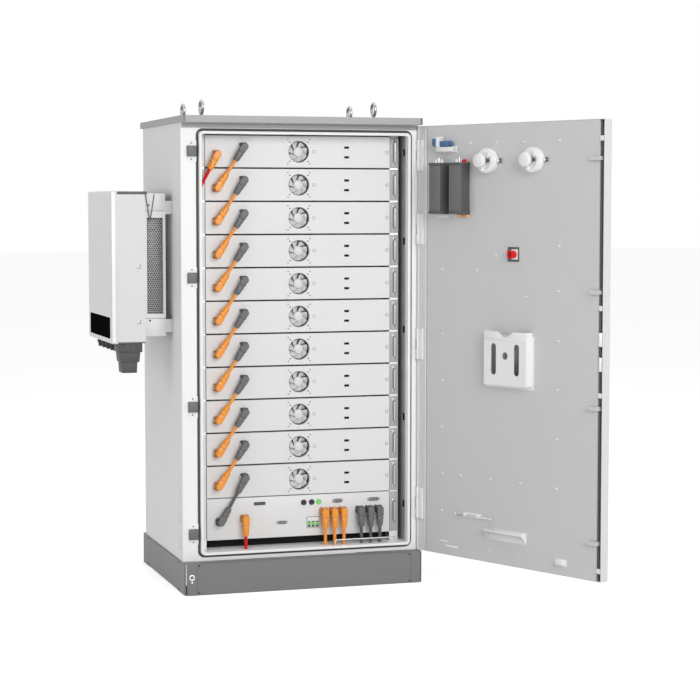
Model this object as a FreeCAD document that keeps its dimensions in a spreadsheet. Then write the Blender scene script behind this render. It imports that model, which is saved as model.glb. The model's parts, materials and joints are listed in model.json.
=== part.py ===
import FreeCAD, Part
import math
import os
import sys
import Sketcher
from FreeCAD import Placement, Rotation, Vector

# Battery energy storage unit: a floor-standing steel cabinet with a full-height front door,
# eleven slide-in battery packs, a control box below them and an inverter on the left wall.
# Millimetres. The origin is the centre of the plinth's underside, +Z is up and the door
# side faces -Y. The door is drawn closed and then swung about its hinge pins.

doc = FreeCAD.newDocument("BatteryStorageUnit")
sheet = doc.addObject("Spreadsheet::Sheet", "Sizes")
nodes = []


class Size:
    """A length in millimetres together with the sheet expression that it comes from."""

    def __init__(self, value, text):
        self.value = value
        self.text = text

    def joined(self, sign, other, value, flipped=False):
        first, second = (other, self) if flipped else (self, other)
        return Size(value, "(%s %s %s)" % (text_of(first), sign, text_of(second)))

    def __add__(self, other):
        return self.joined("+", other, self.value + value_of(other))

    def __radd__(self, other):
        return self.joined("+", other, value_of(other) + self.value, True)

    def __sub__(self, other):
        return self.joined("-", other, self.value - value_of(other))

    def __rsub__(self, other):
        return self.joined("-", other, value_of(other) - self.value, True)

    def __mul__(self, other):
        return self.joined("*", other, self.value * value_of(other))

    def __rmul__(self, other):
        return self.joined("*", other, value_of(other) * self.value, True)

    def __truediv__(self, other):
        return self.joined("/", other, self.value / value_of(other))

    def __neg__(self):
        return Size(-self.value, "(0 - %s)" % self.text)


def value_of(size):
    """Gives the plain number of a size or of a number."""
    return size.value if isinstance(size, Size) else float(size)


def text_of(size):
    """Gives the expression text of a size or of a number."""
    return size.text if isinstance(size, Size) else "%.6f" % size


def size(name, value, note):
    """Writes one driving dimension into the sheet and returns it."""
    size.row += 1
    sheet.set("A%d" % size.row, name)
    sheet.set("B%d" % size.row, "%g" % value)
    sheet.set("C%d" % size.row, note)
    sheet.setAlias("B%d" % size.row, name)
    return Size(float(value), "Sizes.%s" % name)


size.row = 0


def bind(thing, prop, amount):
    """Ties one property of an object to a size."""
    thing.setExpression(prop, text_of(amount))


def place(thing, x, y, z):
    """Ties an object's place to three sizes and keeps its turn."""
    bind(thing, "Placement.Base.x", x)
    bind(thing, "Placement.Base.y", y)
    bind(thing, "Placement.Base.z", z)


def box(name, x, y, z):
    """A block between two places along each axis."""
    solid = doc.addObject("Part::Box", name)
    for prop, (low, high) in (("Length", x), ("Width", y), ("Height", z)):
        bind(solid, prop, high - low)
    place(solid, x[0], y[0], z[0])
    return solid


TURNS = {"X": Rotation(Vector(0, 1, 0), 90), "Y": Rotation(Vector(1, 0, 0), -90), "Z": Rotation()}


def rod(name, axis, radius, centre, span):
    """A round bar along a row axis: centre has the other two coordinates in X, Y, Z order."""
    solid = doc.addObject("Part::Cylinder", name)
    bind(solid, "Radius", radius)
    bind(solid, "Height", span[1] - span[0])
    solid.Placement = Placement(Vector(), TURNS[axis])
    spot = {"X": (span[0], centre[0], centre[1]), "Y": (centre[0], span[0], centre[1]),
            "Z": (centre[0], centre[1], span[0])}[axis]
    place(solid, *spot)
    return solid


def stub(name, near_radius, far_radius, centre, span):
    """A round stub along Y that tapers from its near to its far end."""
    solid = doc.addObject("Part::Cone", name)
    bind(solid, "Radius1", near_radius)
    bind(solid, "Radius2", far_radius)
    bind(solid, "Height", span[1] - span[0])
    solid.Placement = Placement(Vector(), TURNS["Y"])
    place(solid, centre[0], span[0], centre[1])
    return solid


def tapered(name, z, low_x, low_y, high_x, high_y):
    """A block along Z whose section changes evenly from its low to its high end."""
    solid = doc.addObject("Part::Wedge", name)
    for prop, amount in (("Ymax", z[1] - z[0]), ("Xmax", low_x[1] - low_x[0]), ("Zmax", low_y[1] - low_y[0]),
                         ("X2min", high_x[0] - low_x[0]), ("X2max", high_x[1] - low_x[0]),
                         ("Z2min", low_y[1] - high_y[1]), ("Z2max", low_y[1] - high_y[0])):
        bind(solid, prop, amount)
    for prop in ("Xmin", "Ymin", "Zmin"):
        setattr(solid, prop, 0)
    solid.Placement = Placement(Vector(), Rotation(Vector(1, 0, 0), 90))
    place(solid, low_x[0], low_y[1], z[0])
    return solid


def fused(name, pieces):
    """Joins overlapping or touching pieces into one solid."""
    joined = doc.addObject("Part::MultiFuse", name)
    joined.Shapes = pieces
    joined.Refine = True
    return joined


def grouped(name, pieces):
    """Keeps several separate solids in one group."""
    group = doc.addObject("Part::Compound", name)
    group.Links = pieces
    return group


def cut(name, base, tools):
    """Takes the tools away from the base."""
    result = doc.addObject("Part::Cut", name)
    result.Base = base
    result.Tool = tools[0] if len(tools) == 1 else fused(name + "_tools", tools)
    result.Refine = True
    return result


def node(thing, label):
    """Names a finished piece, which is written to its own file."""
    thing.Label = label
    nodes.append(thing)
    return thing


# PartDesign helpers: rectangles and circles on a body's own origin planes

def new_body(name):
    """Makes an empty PartDesign body."""
    return doc.addObject("PartDesign::Body", name)


PLANES = {"Z": "XY_Plane", "Y": "XZ_Plane", "X": "YZ_Plane"}


def sketch_on(body, name, axis, level, across, up):
    """Puts a sketch square to an axis, with its own origin at (across, up)."""
    sketch = body.newObject("Sketcher::SketchObject", name)
    plane = next(item for item in body.Origin.OriginFeatures if item.Role == PLANES[axis])
    sketch.AttachmentSupport = [(plane, "")]
    sketch.MapMode = "FlatFace"
    bind(sketch, "AttachmentOffset.Base.x", across)
    bind(sketch, "AttachmentOffset.Base.y", up)
    bind(sketch, "AttachmentOffset.Base.z", -level if axis == "Y" else level)
    return sketch


def line(sketch, start, end):
    """Adds a straight edge and returns its number."""
    return sketch.addGeometry(Part.LineSegment(Vector(*start, 0), Vector(*end, 0)), False)


def dimension(sketch, kind, items, amount):
    """Adds a driving dimension tied to a size."""
    number = sketch.addConstraint(Sketcher.Constraint(kind, *items, value_of(amount)))
    sketch.setExpression("Constraints[%d]" % number, text_of(amount))


def rectangle(sketch, width, height, corner=None):
    """Draws a rectangle from the sketch's origin, with rounded corners where corner is given."""
    w, h = value_of(width), value_of(height)
    r = value_of(corner) if corner is not None else 0.0
    bottom = line(sketch, (r, 0), (w - r, 0))
    side = line(sketch, (w, r), (w, h - r))
    top = line(sketch, (w - r, h), (r, h))
    edge = line(sketch, (0, h - r), (0, r))
    sides = [bottom, side, top, edge]
    if corner is None:
        for first, second in zip(sides, sides[1:] + sides[:1]):
            sketch.addConstraint(Sketcher.Constraint("Coincident", first, 2, second, 1))
    else:
        centres = [(w - r, r), (w - r, h - r), (r, h - r), (r, r)]
        arcs = []
        for quarter, centre in enumerate(centres):
            circle = Part.Circle(Vector(*centre, 0), Vector(0, 0, 1), r)
            start = (quarter - 1) * math.pi / 2
            arcs.append(sketch.addGeometry(Part.ArcOfCircle(circle, start, start + math.pi / 2), False))
        for number, arc in enumerate(arcs):
            sketch.addConstraint(Sketcher.Constraint("Tangent", sides[number], 2, arc, 1))
            sketch.addConstraint(Sketcher.Constraint("Tangent", arc, 2, sides[(number + 1) % 4], 1))
        for arc in arcs[1:]:
            sketch.addConstraint(Sketcher.Constraint("Equal", arcs[0], arc))
        dimension(sketch, "Radius", (arcs[0],), corner)
    for flat in (bottom, top):
        sketch.addConstraint(Sketcher.Constraint("Horizontal", flat))
    for upright in (side, edge):
        sketch.addConstraint(Sketcher.Constraint("Vertical", upright))
    dimension(sketch, "DistanceX", (edge, 1, side, 1), width)
    dimension(sketch, "DistanceY", (bottom, 1, top, 1), height)
    sketch.addConstraint(Sketcher.Constraint("PointOnObject", edge, 1, -2))
    sketch.addConstraint(Sketcher.Constraint("PointOnObject", bottom, 1, -1))


def feature(body, kind, name, axis, across, up, span, corner=None):
    """Pads or pockets a rectangle between two levels along an axis, in row coordinates."""
    pad = kind == "Pad"
    level = span[0] if (axis != "Y") == pad else span[1]
    sketch = sketch_on(body, name + "_outline", axis, level, across[0], up[0])
    rectangle(sketch, across[1] - across[0], up[1] - up[0], corner)
    result = body.newObject("PartDesign::" + kind, name)
    result.Profile = sketch
    bind(result, "Length", span[1] - span[0])
    return result


def hole(body, name, axis, radius, centre, span):
    """Cuts a round hole between two levels along an axis."""
    level = span[0] if axis == "Y" else span[1]
    sketch = sketch_on(body, name + "_outline", axis, level, centre[0], centre[1])
    circle = sketch.addGeometry(Part.Circle(Vector(), Vector(0, 0, 1), value_of(radius)), False)
    sketch.addConstraint(Sketcher.Constraint("Coincident", circle, 3, -1, 1))
    dimension(sketch, "Radius", (circle,), radius)
    result = body.newObject("PartDesign::Pocket", name)
    result.Profile = sketch
    bind(result, "Length", span[1] - span[0])
    return result


def upright_edges(shape):
    """Names the straight edges along Z."""
    names = []
    for number, edge in enumerate(shape.Edges, 1):
        ends = edge.Vertexes
        if len(ends) == 2 and abs(ends[0].X - ends[1].X) < 0.01 and abs(ends[0].Y - ends[1].Y) < 0.01:
            names.append("Edge%d" % number)
    return names


def corner_cuts(body, name, amount):
    """Bevels the four upright corners of the body's first block."""
    doc.recompute()
    base = body.Tip
    cuts = body.newObject("PartDesign::Chamfer", name)
    cuts.Base = (base, upright_edges(base.Shape))
    bind(cuts, "Size", amount)
    doc.recompute()
    return cuts


# Driving dimensions

cabinet_width = size("cabinet_width", 1052, "plinth width")
cabinet_depth = size("cabinet_depth", 866, "plinth depth")
cabinet_height = size("cabinet_height", 2000, "floor to the top of the lid")
plinth_height = size("plinth_height", 135, "plinth")
lid_height = size("lid_height", 28, "skirt of the lid")
lid_overhang = size("lid_overhang", 1, "lid past the plinth")
corner_bevel = size("corner_bevel", 15, "bevel on the plinth and lid corners")
metal = size("metal", 2, "body sheet thickness")
plate = size("plate", 3, "plinth, floor and bracket plate thickness")
flush_gap = size("flush_gap", 0.5, "clearance between neighbouring sheets")
side_inset = size("side_inset", 5, "body wall inside the plinth's side")
front_recess = size("front_recess", 60, "front frame behind the plinth's front")
rear_recess = size("rear_recess", 47, "rear wall inside the plinth's back")
frame_depth = size("frame_depth", 20, "depth of the front frame's section")
post_width = size("post_width", 52, "plinth corner post seen from the front")
post_depth = size("post_depth", 147, "plinth corner post seen from the side")
side_split = size("side_split", 340, "front half of a plinth side panel")
anchor_radius = size("anchor_radius", 9, "floor anchor hole")
anchor_inset = size("anchor_inset", 30, "anchor hole from the plinth's outside")
flange_width = size("flange_width", 55, "plinth flange")

opening_left = size("opening_left", 92, "doorway's left edge from the plinth's left side")
opening_right = size("opening_right", 54, "doorway's right edge from the plinth's right side")
opening_low = size("opening_low", 171, "doorway's sill above the floor")
opening_drop = size("opening_drop", 74, "doorway's head below the top of the lid")
lip_width = size("lip_width", 11, "raised lip round the doorway")
lip_rise = size("lip_rise", 15, "lip in front of the frame")
gutter_width = size("gutter_width", 12, "channel outside the lip")
gutter_depth = size("gutter_depth", 10, "channel below the frame's face")
doorway_radius = size("doorway_radius", 8, "inner corner of the lip")

ear_overlap = size("ear_overlap", 8.5, "left pack ears behind the doorway's edge")
rack_slack = size("rack_slack", 17.5, "right pack ears inside the doorway's edge")
pack_gap = size("pack_gap", 6, "gap between two packs' front plates")
case_drop = size("case_drop", 6, "pack case shorter than its front plate")
pack_rear_gap = size("pack_rear_gap", 94, "pack case in front of the rear wall")
pack_front = size("pack_front", 125, "pack front plates behind the plinth's front")
pack_metal = size("pack_metal", 1.5, "pack case sheet")
ear_width = size("ear_width", 40, "pack mounting ear")
handle_reach = size("handle_reach", 27.5, "pack handle in front of its ear")
handle_margin = size("handle_margin", 15, "pack handle inside its front plate's edge")
handle_bar = size("handle_bar", 8, "pack handle thickness")
fan_size = size("fan_size", 92, "fan frame width")
fan_depth = size("fan_depth", 25, "fan frame depth")
fan_bore = size("fan_bore", 44, "fan opening radius")
fan_hub = size("fan_hub", 19, "fan hub radius")
blade_tip_gap = size("blade_tip_gap", 2, "blade tip inside the fan opening")
blade_thickness = size("blade_thickness", 2, "fan blade thickness")
blade_pitch = size("blade_pitch", 40, "fan blade pitch, degrees")
positive_edge = size("positive_edge", 81.5, "positive socket from the front plate's left edge")
positive_z = size("positive_z", 13, "positive socket below the pack centre")
negative_edge = size("negative_edge", 197.5, "negative socket from the front plate's left edge")
negative_z = size("negative_z", 20, "negative socket above the pack centre")
socket_radius = size("socket_radius", 15, "power socket neck")
socket_reach = size("socket_reach", 20, "power socket in front of the pack")
plug_head = size("plug_head", 18, "elbow plug head radius")
plug_thick = size("plug_thick", 30, "elbow plug head thickness")
plug_radius = size("plug_radius", 12, "elbow plug barrel radius")
plug_collar = size("plug_collar", 13.5, "elbow plug collar radius")
plug_length = size("plug_length", 72, "elbow plug from its axis to its tail")
cable_radius = size("cable_radius", 7, "power cable")
control_low = size("control_low", 208, "underside of the control box front plate")
control_high = size("control_high", 386, "top of the control box front plate")

hinge_inset = size("hinge_inset", 9, "hinge pin from the plinth's right side")
door_gap = size("door_gap", 17, "door's inner face in front of the frame")
door_edge = size("door_edge", 5, "door's hinge edge from the plinth's right side")
door_low = size("door_low", 137, "door's lower edge")
door_drop = size("door_drop", 33, "door's upper edge below the top of the lid")
door_open_angle = size("door_open_angle", 114.6, "door swing in the stored pose, degrees")
knuckle_radius = size("knuckle_radius", 6.5, "hinge knuckle")
pin_radius = size("pin_radius", 3.5, "hinge pin")
pin_clearance = size("pin_clearance", 0.06, "radial clearance round a hinge pin")
hinge_length = size("hinge_length", 132, "hinge height")
knuckle_gap = size("knuckle_gap", 0.4, "gap between knuckles")
edge_channel = size("edge_channel", 28, "lock channel along the door's free edge")
hinge_margin = size("hinge_margin", 58, "door's inner sheet from its hinge edge")
bar_width = size("bar_width", 16, "lock bar width")
bar_thick = size("bar_thick", 4, "lock bar thickness")
lock_travel = size("lock_travel", 20, "lock bar travel")
lock_inset = size("lock_inset", 43, "door handle spindle from the door's free edge")
cam_pin_circle = size("cam_pin_circle", 16, "drive pins from the spindle's axis")
keeper_x = size("keeper_x", 50, "keepers from the plinth's left side")
keeper_height = size("keeper_height", 44, "keeper height")
keeper_width = size("keeper_width", 38, "keeper width")

inverter_width = size("inverter_width", 540, "inverter front")
inverter_height = size("inverter_height", 640, "inverter height")
inverter_drop = size("inverter_drop", 312, "top of the inverter below the top of the lid")
inverter_rear_gap = size("inverter_rear_gap", 59, "inverter's far side in front of the rear wall")
inverter_bracket_reach = size("inverter_bracket_reach", 29, "wall bracket")
inverter_guard_depth = size("inverter_guard_depth", 90, "cooling section")
inverter_chassis_depth = size("inverter_chassis_depth", 118, "inverter chassis")
inverter_cover_depth = size("inverter_cover_depth", 26, "inverter front cover")

eye_radius = size("eye_radius", 26.5, "lifting eye ring")
eye_bar = size("eye_bar", 6.5, "lifting eye bar radius")
eye_inset_x = size("eye_inset_x", 141, "lifting eyes from the plinth's sides")
eye_inset_y = size("eye_inset_y", 258, "lifting eyes from the plinth's front and back")
eye_height = size("eye_height", 44, "lifting eye centre above the lid")

PACKS = 11
BLADES = 7
LOCK_PART = 0.55
HINGE_PARTS = (0.0, 0.4604, 0.79, 1.0)
LINER_PARTS = (0.0, 0.25, 0.5, 0.75, 1.0)
KEEPER_PARTS = (0.0, 0.3354, 0.6721, 1.0)
hinge_foot = size("hinge_foot", 205, "lowest hinge centre above the door's lower edge")
hinge_head = size("hinge_head", 124, "highest hinge centre below the door's upper edge")
keeper_margin = size("keeper_margin", 113, "outer keeper centres from the door's lower and upper edge")

left, right = -cabinet_width / 2, cabinet_width / 2
front, back = -cabinet_depth / 2, cabinet_depth / 2
wall_left, wall_right = left + side_inset, right - side_inset
frame_y = front + front_recess
frame_back = frame_y + frame_depth
rear_y = back - rear_recess
roof = cabinet_height - metal
lid_low = cabinet_height - lid_height
way_left, way_right = left + opening_left, right - opening_right
door_y = frame_y - door_gap
rack_left, rack_right = way_left - ear_overlap, way_right - rack_slack
rack_x = (rack_left + rack_right) / 2
face_y = front + pack_front
opening_high = cabinet_height - opening_drop
pack_width = rack_right - rack_left - ear_width * 2
pack_depth = rear_y - face_y - pack_rear_gap
pack_pitch = (opening_high - control_high) / PACKS
pack_face_height = pack_pitch - pack_gap
pack_body_height = pack_face_height - case_drop
pack_top_centre = opening_high - pack_pitch / 2
handle_grip = pack_face_height - handle_margin * 2
positive_x = rack_x - rack_left - positive_edge
negative_x = rack_x - rack_left - negative_edge
door_high = cabinet_height - door_drop
lock_height = cabinet_height * LOCK_PART
pin_x, pin_y = right - hinge_inset, door_y
door_right = right - door_edge
door_left = left + flush_gap
channel_x = door_left + edge_channel


def shared_out(low, high, parts):
    """Heights at the given parts of the way between two levels."""
    return [low + (high - low) * part for part in parts]


hinge_heights = shared_out(door_low + hinge_foot, door_high - hinge_head, HINGE_PARTS)
keeper_heights = shared_out(door_low + keeper_margin, door_high - keeper_margin, KEEPER_PARTS)


def pack_z(number):
    """Centre height of a pack, counted from 0 at the top."""
    return pack_top_centre - number * pack_pitch


# Plinth

plug_y = face_y - socket_reach - plug_thick / 2


def plinth():
    """The welded plinth with its flanges, and the bolted panels round it."""
    body = new_body("plinth_body")
    feature(body, "Pad", "plinth_block", "Z", (left, right), (front, back), (0, plinth_height))
    corner_cuts(body, "plinth_bevel", corner_bevel)
    wall = plate * 2
    feature(body, "Pocket", "plinth_cavity", "Z", (left + wall, right - wall), (front + wall, back - wall),
            (plate, plinth_height - plate))
    feature(body, "Pocket", "plinth_well", "Z", (left + flange_width, right - flange_width),
            (front + flange_width, back - flange_width), (0, plinth_height))
    for name, y in (("front", (front, front + plate)), ("rear", (back - plate, back))):
        feature(body, "Pocket", "plinth_%s_seat" % name, "Y", (left + post_width, right - post_width),
                (0, plinth_height), y)
    for name, x in (("left", (left, left + plate)), ("right", (right - plate, right))):
        feature(body, "Pocket", "plinth_%s_seat" % name, "X", (front + post_depth, back - post_depth),
                (0, plinth_height), x)
    window_margin = post_width * 2
    window_z = (plate * 8, plinth_height - plate * 8)
    feature(body, "Pocket", "plinth_long_windows", "Y", (left + window_margin, right - window_margin),
            window_z, (front, back))
    feature(body, "Pocket", "plinth_short_windows", "X", (front + post_depth * 1.5, back - post_depth * 1.5),
            window_z, (left, right))
    for number, (sx, sy) in enumerate(((-1, -1), (1, -1), (1, 1), (-1, 1))):
        hole(body, "anchor_hole_%d" % number, "Z", anchor_radius,
             (sx * (cabinet_width / 2 - anchor_inset), sy * (cabinet_depth / 2 - post_depth / 2)), (0, plate))
    node(body, "plinth_frame")

    panels = []
    for name, y in (("front", (front, front + plate)), ("rear", (back - plate, back))):
        panels.append(box("plinth_panel_" + name,
                          (left + post_width + flush_gap, right - post_width - flush_gap),
                          y, (plate, plinth_height - plate)))
    for name, x in (("left", (left, left + plate)), ("right", (right - plate, right))):
        split = front + post_depth + side_split
        panels.append(box("plinth_panel_near_" + name, x, (front + post_depth + flush_gap, split - flush_gap),
                          (plate, plinth_height - plate)))
        panels.append(box("plinth_panel_far_" + name, x, (split + flush_gap, back - post_depth - flush_gap),
                          (plate, plinth_height - plate)))
    node(grouped("plinth_panel_set", panels), "plinth_panels")


# Cabinet shell

def front_frame():
    """The door frame: pillars, gutter and the raised lip that the door's seal meets."""
    body = new_body("frame_body")
    inner_x, inner_z = (way_left, way_right), (opening_low, opening_high)
    lip_x = (way_left - lip_width, way_right + lip_width)
    lip_z = (opening_low - lip_width, opening_high + lip_width)
    gutter_x = (lip_x[0] - gutter_width, lip_x[1] + gutter_width)
    gutter_z = (lip_z[0] - gutter_width, lip_z[1] + gutter_width)
    feature(body, "Pad", "frame_slab", "Y", (wall_left + metal, wall_right - metal), (plinth_height, roof),
            (frame_y, frame_back))
    feature(body, "Pocket", "frame_gutter", "Y", gutter_x, gutter_z, (frame_y, frame_y + gutter_depth),
            doorway_radius + lip_width + gutter_width)
    feature(body, "Pad", "frame_lip", "Y", lip_x, lip_z, (frame_y - lip_rise, frame_y + gutter_depth),
            doorway_radius + lip_width)
    feature(body, "Pocket", "frame_doorway", "Y", inner_x, inner_z, (frame_y - lip_rise, frame_back),
            doorway_radius)
    hollow = (frame_y + metal, frame_back)
    feature(body, "Pocket", "frame_pillar_hollow", "Y", (wall_left + metal * 3, gutter_x[0] - metal),
            (plinth_height + plate, lid_low - plate), hollow)
    node(body, "front_frame")

    seal_face = frame_y - lip_rise - seal_rise
    seal = new_body("seal_body")
    middle = lip_width / 2
    feature(seal, "Pad", "seal_ring", "Y", (lip_x[0], lip_x[1]), (lip_z[0], lip_z[1]),
            (seal_face, frame_y - lip_rise), doorway_radius + lip_width)
    feature(seal, "Pocket", "seal_inside", "Y", (way_left - middle, way_right + middle),
            (opening_low - middle, opening_high + middle), (seal_face, frame_y - lip_rise),
            doorway_radius + middle)
    node(seal, "door_seal")


seal_rise = size("seal_rise", 1.7, "seal in front of the lip, pressed flat")


def shell():
    """Side walls, rear wall, floor pan, jamb liners and lid."""
    walls = []
    slot_near, slot_far = front + slot_inset, back - slot_rear
    slot_rows = [(slot_low + slot_pitch * row, slot_low + slot_pitch * row + slot_height) for row in range(2)]
    slot_rows.append((slot_low + slot_pitch * 2, slot_low + slot_pitch * 2 + slot_short))
    for name, x in (("left", (wall_left, wall_left + metal)), ("right", (wall_right - metal, wall_right))):
        sheet_part = box("wall_sheet_" + name, x, (frame_y, rear_y), (plinth_height, roof))
        if name == "left":
            slots = [box("wall_slot_%d" % number, x, (slot_near, slot_near + slot_width), rows)
                     for number, rows in enumerate(slot_rows)]
            slots.append(box("wall_slot_far", x, (slot_far, slot_far + slot_width),
                         (slot_rear_low, slot_rear_low + slot_height)))
            sheet_part = cut("wall_left_slotted", sheet_part, slots)
        walls.append(sheet_part)
    rear = new_body("rear_body")
    inside = (wall_left + metal, wall_right - metal)
    feature(rear, "Pad", "rear_sheet", "Y", inside, (plinth_height, roof), (rear_y - metal, rear_y))
    margin = post_width * 0.75
    feature(rear, "Pad", "rear_field", "Y", (inside[0] + margin, inside[1] - margin),
            (plinth_height + margin, lid_low - margin), (rear_y, rear_y + rear_field_rise), doorway_radius)
    feature(rear, "Pocket", "rear_hollow", "Y", (inside[0] + margin + metal, inside[1] - margin - metal),
            (plinth_height + margin + metal, lid_low - margin - metal),
            (rear_y - metal, rear_y + rear_field_rise - metal))
    node(grouped("wall_set", walls + [rear]), "wall_panels")

    floor = new_body("floor_body")
    pan_x = (wall_left + metal, wall_right - metal)
    pan_y = (frame_back, rear_y - metal)
    feature(floor, "Pad", "floor_block", "Z", pan_x, pan_y, (plinth_height, opening_low))
    feature(floor, "Pocket", "floor_hollow", "Z", (pan_x[0] + metal, pan_x[1] - metal),
            (pan_y[0] + metal, pan_y[1] - metal), (plinth_height, opening_low - plate))
    for number, x in enumerate(drop_places()):
        hole(floor, "cable_hole_%d" % number, "Z", gland_radius, (x, plug_y),
             (opening_low - plate, opening_low))
    node(floor, "floor_pan")

    liners = []
    levels = shared_out(opening_low + liner_hole_low, pack_top_centre, LINER_PARTS)
    left_liner = rack_x - pack_width / 2 - ear_width - liner_gap
    for name, x in (("left", (left_liner - metal, left_liner)), ("right", (way_right, way_right + metal))):
        sheet_part = box("liner_sheet_" + name, x, (frame_back, frame_back + liner_depth),
                         (opening_low, opening_high))
        holes = [box("liner_hole_%s_%d" % (name, number), x,
                     (frame_back + liner_hole / 4, frame_back + liner_hole * 1.25),
                     (height - liner_hole / 2, height + liner_hole / 2))
                 for number, height in enumerate(levels)]
        if name == "left":
            lead_z = feed_height(left_liner)
            holes.append(box("liner_lead_hole", x,
                             (plug_y - cable_radius - flush_gap, plug_y + cable_radius + flush_gap),
                             (lead_z - cable_radius * 3, lead_z + cable_radius * 3)))
        liners.append(cut("liner_" + name, sheet_part, holes))
    node(grouped("liner_set", liners), "jamb_liners")

    lid = new_body("lid_body")
    feature(lid, "Pad", "lid_block", "Z", (left - lid_overhang, right + lid_overhang),
            (front - lid_overhang, back + lid_overhang), (lid_low, cabinet_height))
    corner_cuts(lid, "lid_bevel", corner_bevel + lid_overhang)
    feature(lid, "Pocket", "lid_hollow", "Z", (wall_left - flush_gap, wall_right + flush_gap),
            (front + metal, back - metal), (lid_low, roof))
    for number, (x, y) in enumerate(eye_places()):
        hole(lid, "eye_hole_%d" % number, "Z", eye_shank + flush_gap, (x, y), (roof, cabinet_height))
    node(lid, "lid")


slot_inset = size("slot_inset", 108, "front wall slots from the plinth's front")
slot_rear = size("slot_rear", 76, "rear wall slot from the plinth's back")
slot_low = size("slot_low", 175, "lowest wall slot above the floor")
slot_pitch = size("slot_pitch", 107, "one wall slot to the next")
slot_height = size("slot_height", 68, "wall slot height")
slot_short = size("slot_short", 48, "highest wall slot's height")
slot_width = size("slot_width", 6, "wall slot width")
slot_rear_low = size("slot_rear_low", 198, "rear wall slot above the floor")
rear_field_rise = size("rear_field_rise", 15, "raised field of the rear wall")
liner_gap = size("liner_gap", 5, "left jamb liner beside the pack ears")
liner_depth = size("liner_depth", 320, "jamb liner depth")
liner_hole = size("liner_hole", 30, "square hole in a jamb liner")
liner_hole_low = size("liner_hole_low", 161, "lowest liner hole above the sill")
gland_radius = size("gland_radius", 7.5, "cable hole in the floor")
eye_shank = size("eye_shank", 8, "lifting eye thread radius")
feed_edge = size("feed_edge", 200.5, "feed cable from the control box's left edge")
trio_pitch = size("trio_pitch", 42, "one output plug to the next")
orange_trio = size("orange_trio", 343.5, "first orange output from the control box's right edge")
dark_trio = size("dark_trio", 180.5, "first dark output from the control box's right edge")


def drop_places():
    """X of each power cable that drops from the control box: feed, three orange, three dark."""
    places = [rack_left + feed_edge]
    for start in (orange_trio, dark_trio):
        places += [rack_right - start + number * trio_pitch for number in range(3)]
    return places


def eye_places():
    """X and Y of the four lifting eyes."""
    across = (left + eye_inset_x, right - eye_inset_x)
    along = (front + eye_inset_y, back - eye_inset_y)
    return [(x, y) for x in across for y in along]


def lifting_eyes():
    """Four forged lifting eyes through the lid, each with its nut below."""
    eyes = []
    for number, (x, y) in enumerate(eye_places()):
        ring = doc.addObject("Part::Torus", "eye_ring_%d" % number)
        bind(ring, "Radius1", eye_radius)
        bind(ring, "Radius2", eye_bar)
        ring.Placement = Placement(Vector(), TURNS["X"])
        place(ring, x, y, cabinet_height + eye_height)
        collar = rod("eye_collar_%d" % number, "Z", eye_shank * 2, (x, y),
                     (cabinet_height, cabinet_height + eye_shank))
        neck = rod("eye_neck_%d" % number, "Z", eye_shank, (x, y),
                   (roof - lid_height / 2, cabinet_height + eye_height - eye_radius))
        eyes.append(fused("eye_%d" % number, [ring, collar, neck]))
        nut = rod("eye_nut_blank_%d" % number, "Z", eye_shank * 1.8, (x, y), (roof - eye_shank, roof))
        bore = rod("eye_nut_bore_%d" % number, "Z", eye_shank, (x, y), (roof - eye_shank, roof))
        eyes.append(cut("eye_nut_%d" % number, nut, [bore]))
    node(grouped("eye_set", eyes), "lifting_eyes")


# Rack and packs

def rack():
    """Two upright ladders of angle section with a runner under every pack."""
    sides = []
    half = pack_width / 2 + flush_gap
    web = plate
    post_top = pack_top_centre + pack_pitch / 2
    for name, sign in (("left", -1), ("right", 1)):
        def across(near, far):
            low, high = rack_x + sign * near, rack_x + sign * far
            return (high, low) if sign < 0 else (low, high)
        pieces = [box("rack_flange_" + name, across(half, half + ear_width - flush_gap),
                      (face_y + pack_metal, face_y + pack_metal + plate), (opening_low, post_top))]
        for place_name, y in (("front", face_y + pack_metal), ("rear", face_y + pack_depth - ear_width)):
            pieces.append(box("rack_web_%s_%s" % (place_name, name), across(half, half + web),
                              (y, y + ear_width), (opening_low, post_top)))
        for number in range(PACKS + 1):
            z = pack_z(number) - pack_body_height / 2 if number < PACKS else control_base
            pieces.append(box("runner_%s_%d" % (name, number), across(half - runner_width, half + web),
                              (face_y + pack_metal + plate, face_y + pack_depth), (z - plate, z)))
        sides.append(fused("rack_side_" + name, pieces))
    node(grouped("rack_set", sides), "rack_frame")


runner_width = size("runner_width", 24, "runner under a pack")
control_base = control_low + (pack_face_height - pack_body_height) / 2


def pack_handles():
    """A grab handle on each ear of every pack and of the control box: two legs and a grip."""
    handles = []
    reach = face_y - handle_reach
    centres = [pack_z(number) for number in range(PACKS)] + [(control_low + control_high) / 2]
    for number, centre in enumerate(centres):
        low, high = centre - handle_grip / 2, centre + handle_grip / 2
        for side, sign in (("left", -1), ("right", 1)):
            name = "handle_%s_%02d" % (side, number)
            middle = rack_x + sign * (pack_width / 2 + ear_width / 2)
            x = (middle - handle_bar / 2, middle + handle_bar / 2)
            bar = box(name + "_bar", x, (reach, face_y), (low, high))
            gap = box(name + "_gap", x, (reach + handle_bar, face_y), (low + handle_bar, high - handle_bar))
            handles.append(cut(name, bar, [gap]))
    node(grouped("handle_set", handles), "pack_handles")


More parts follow.
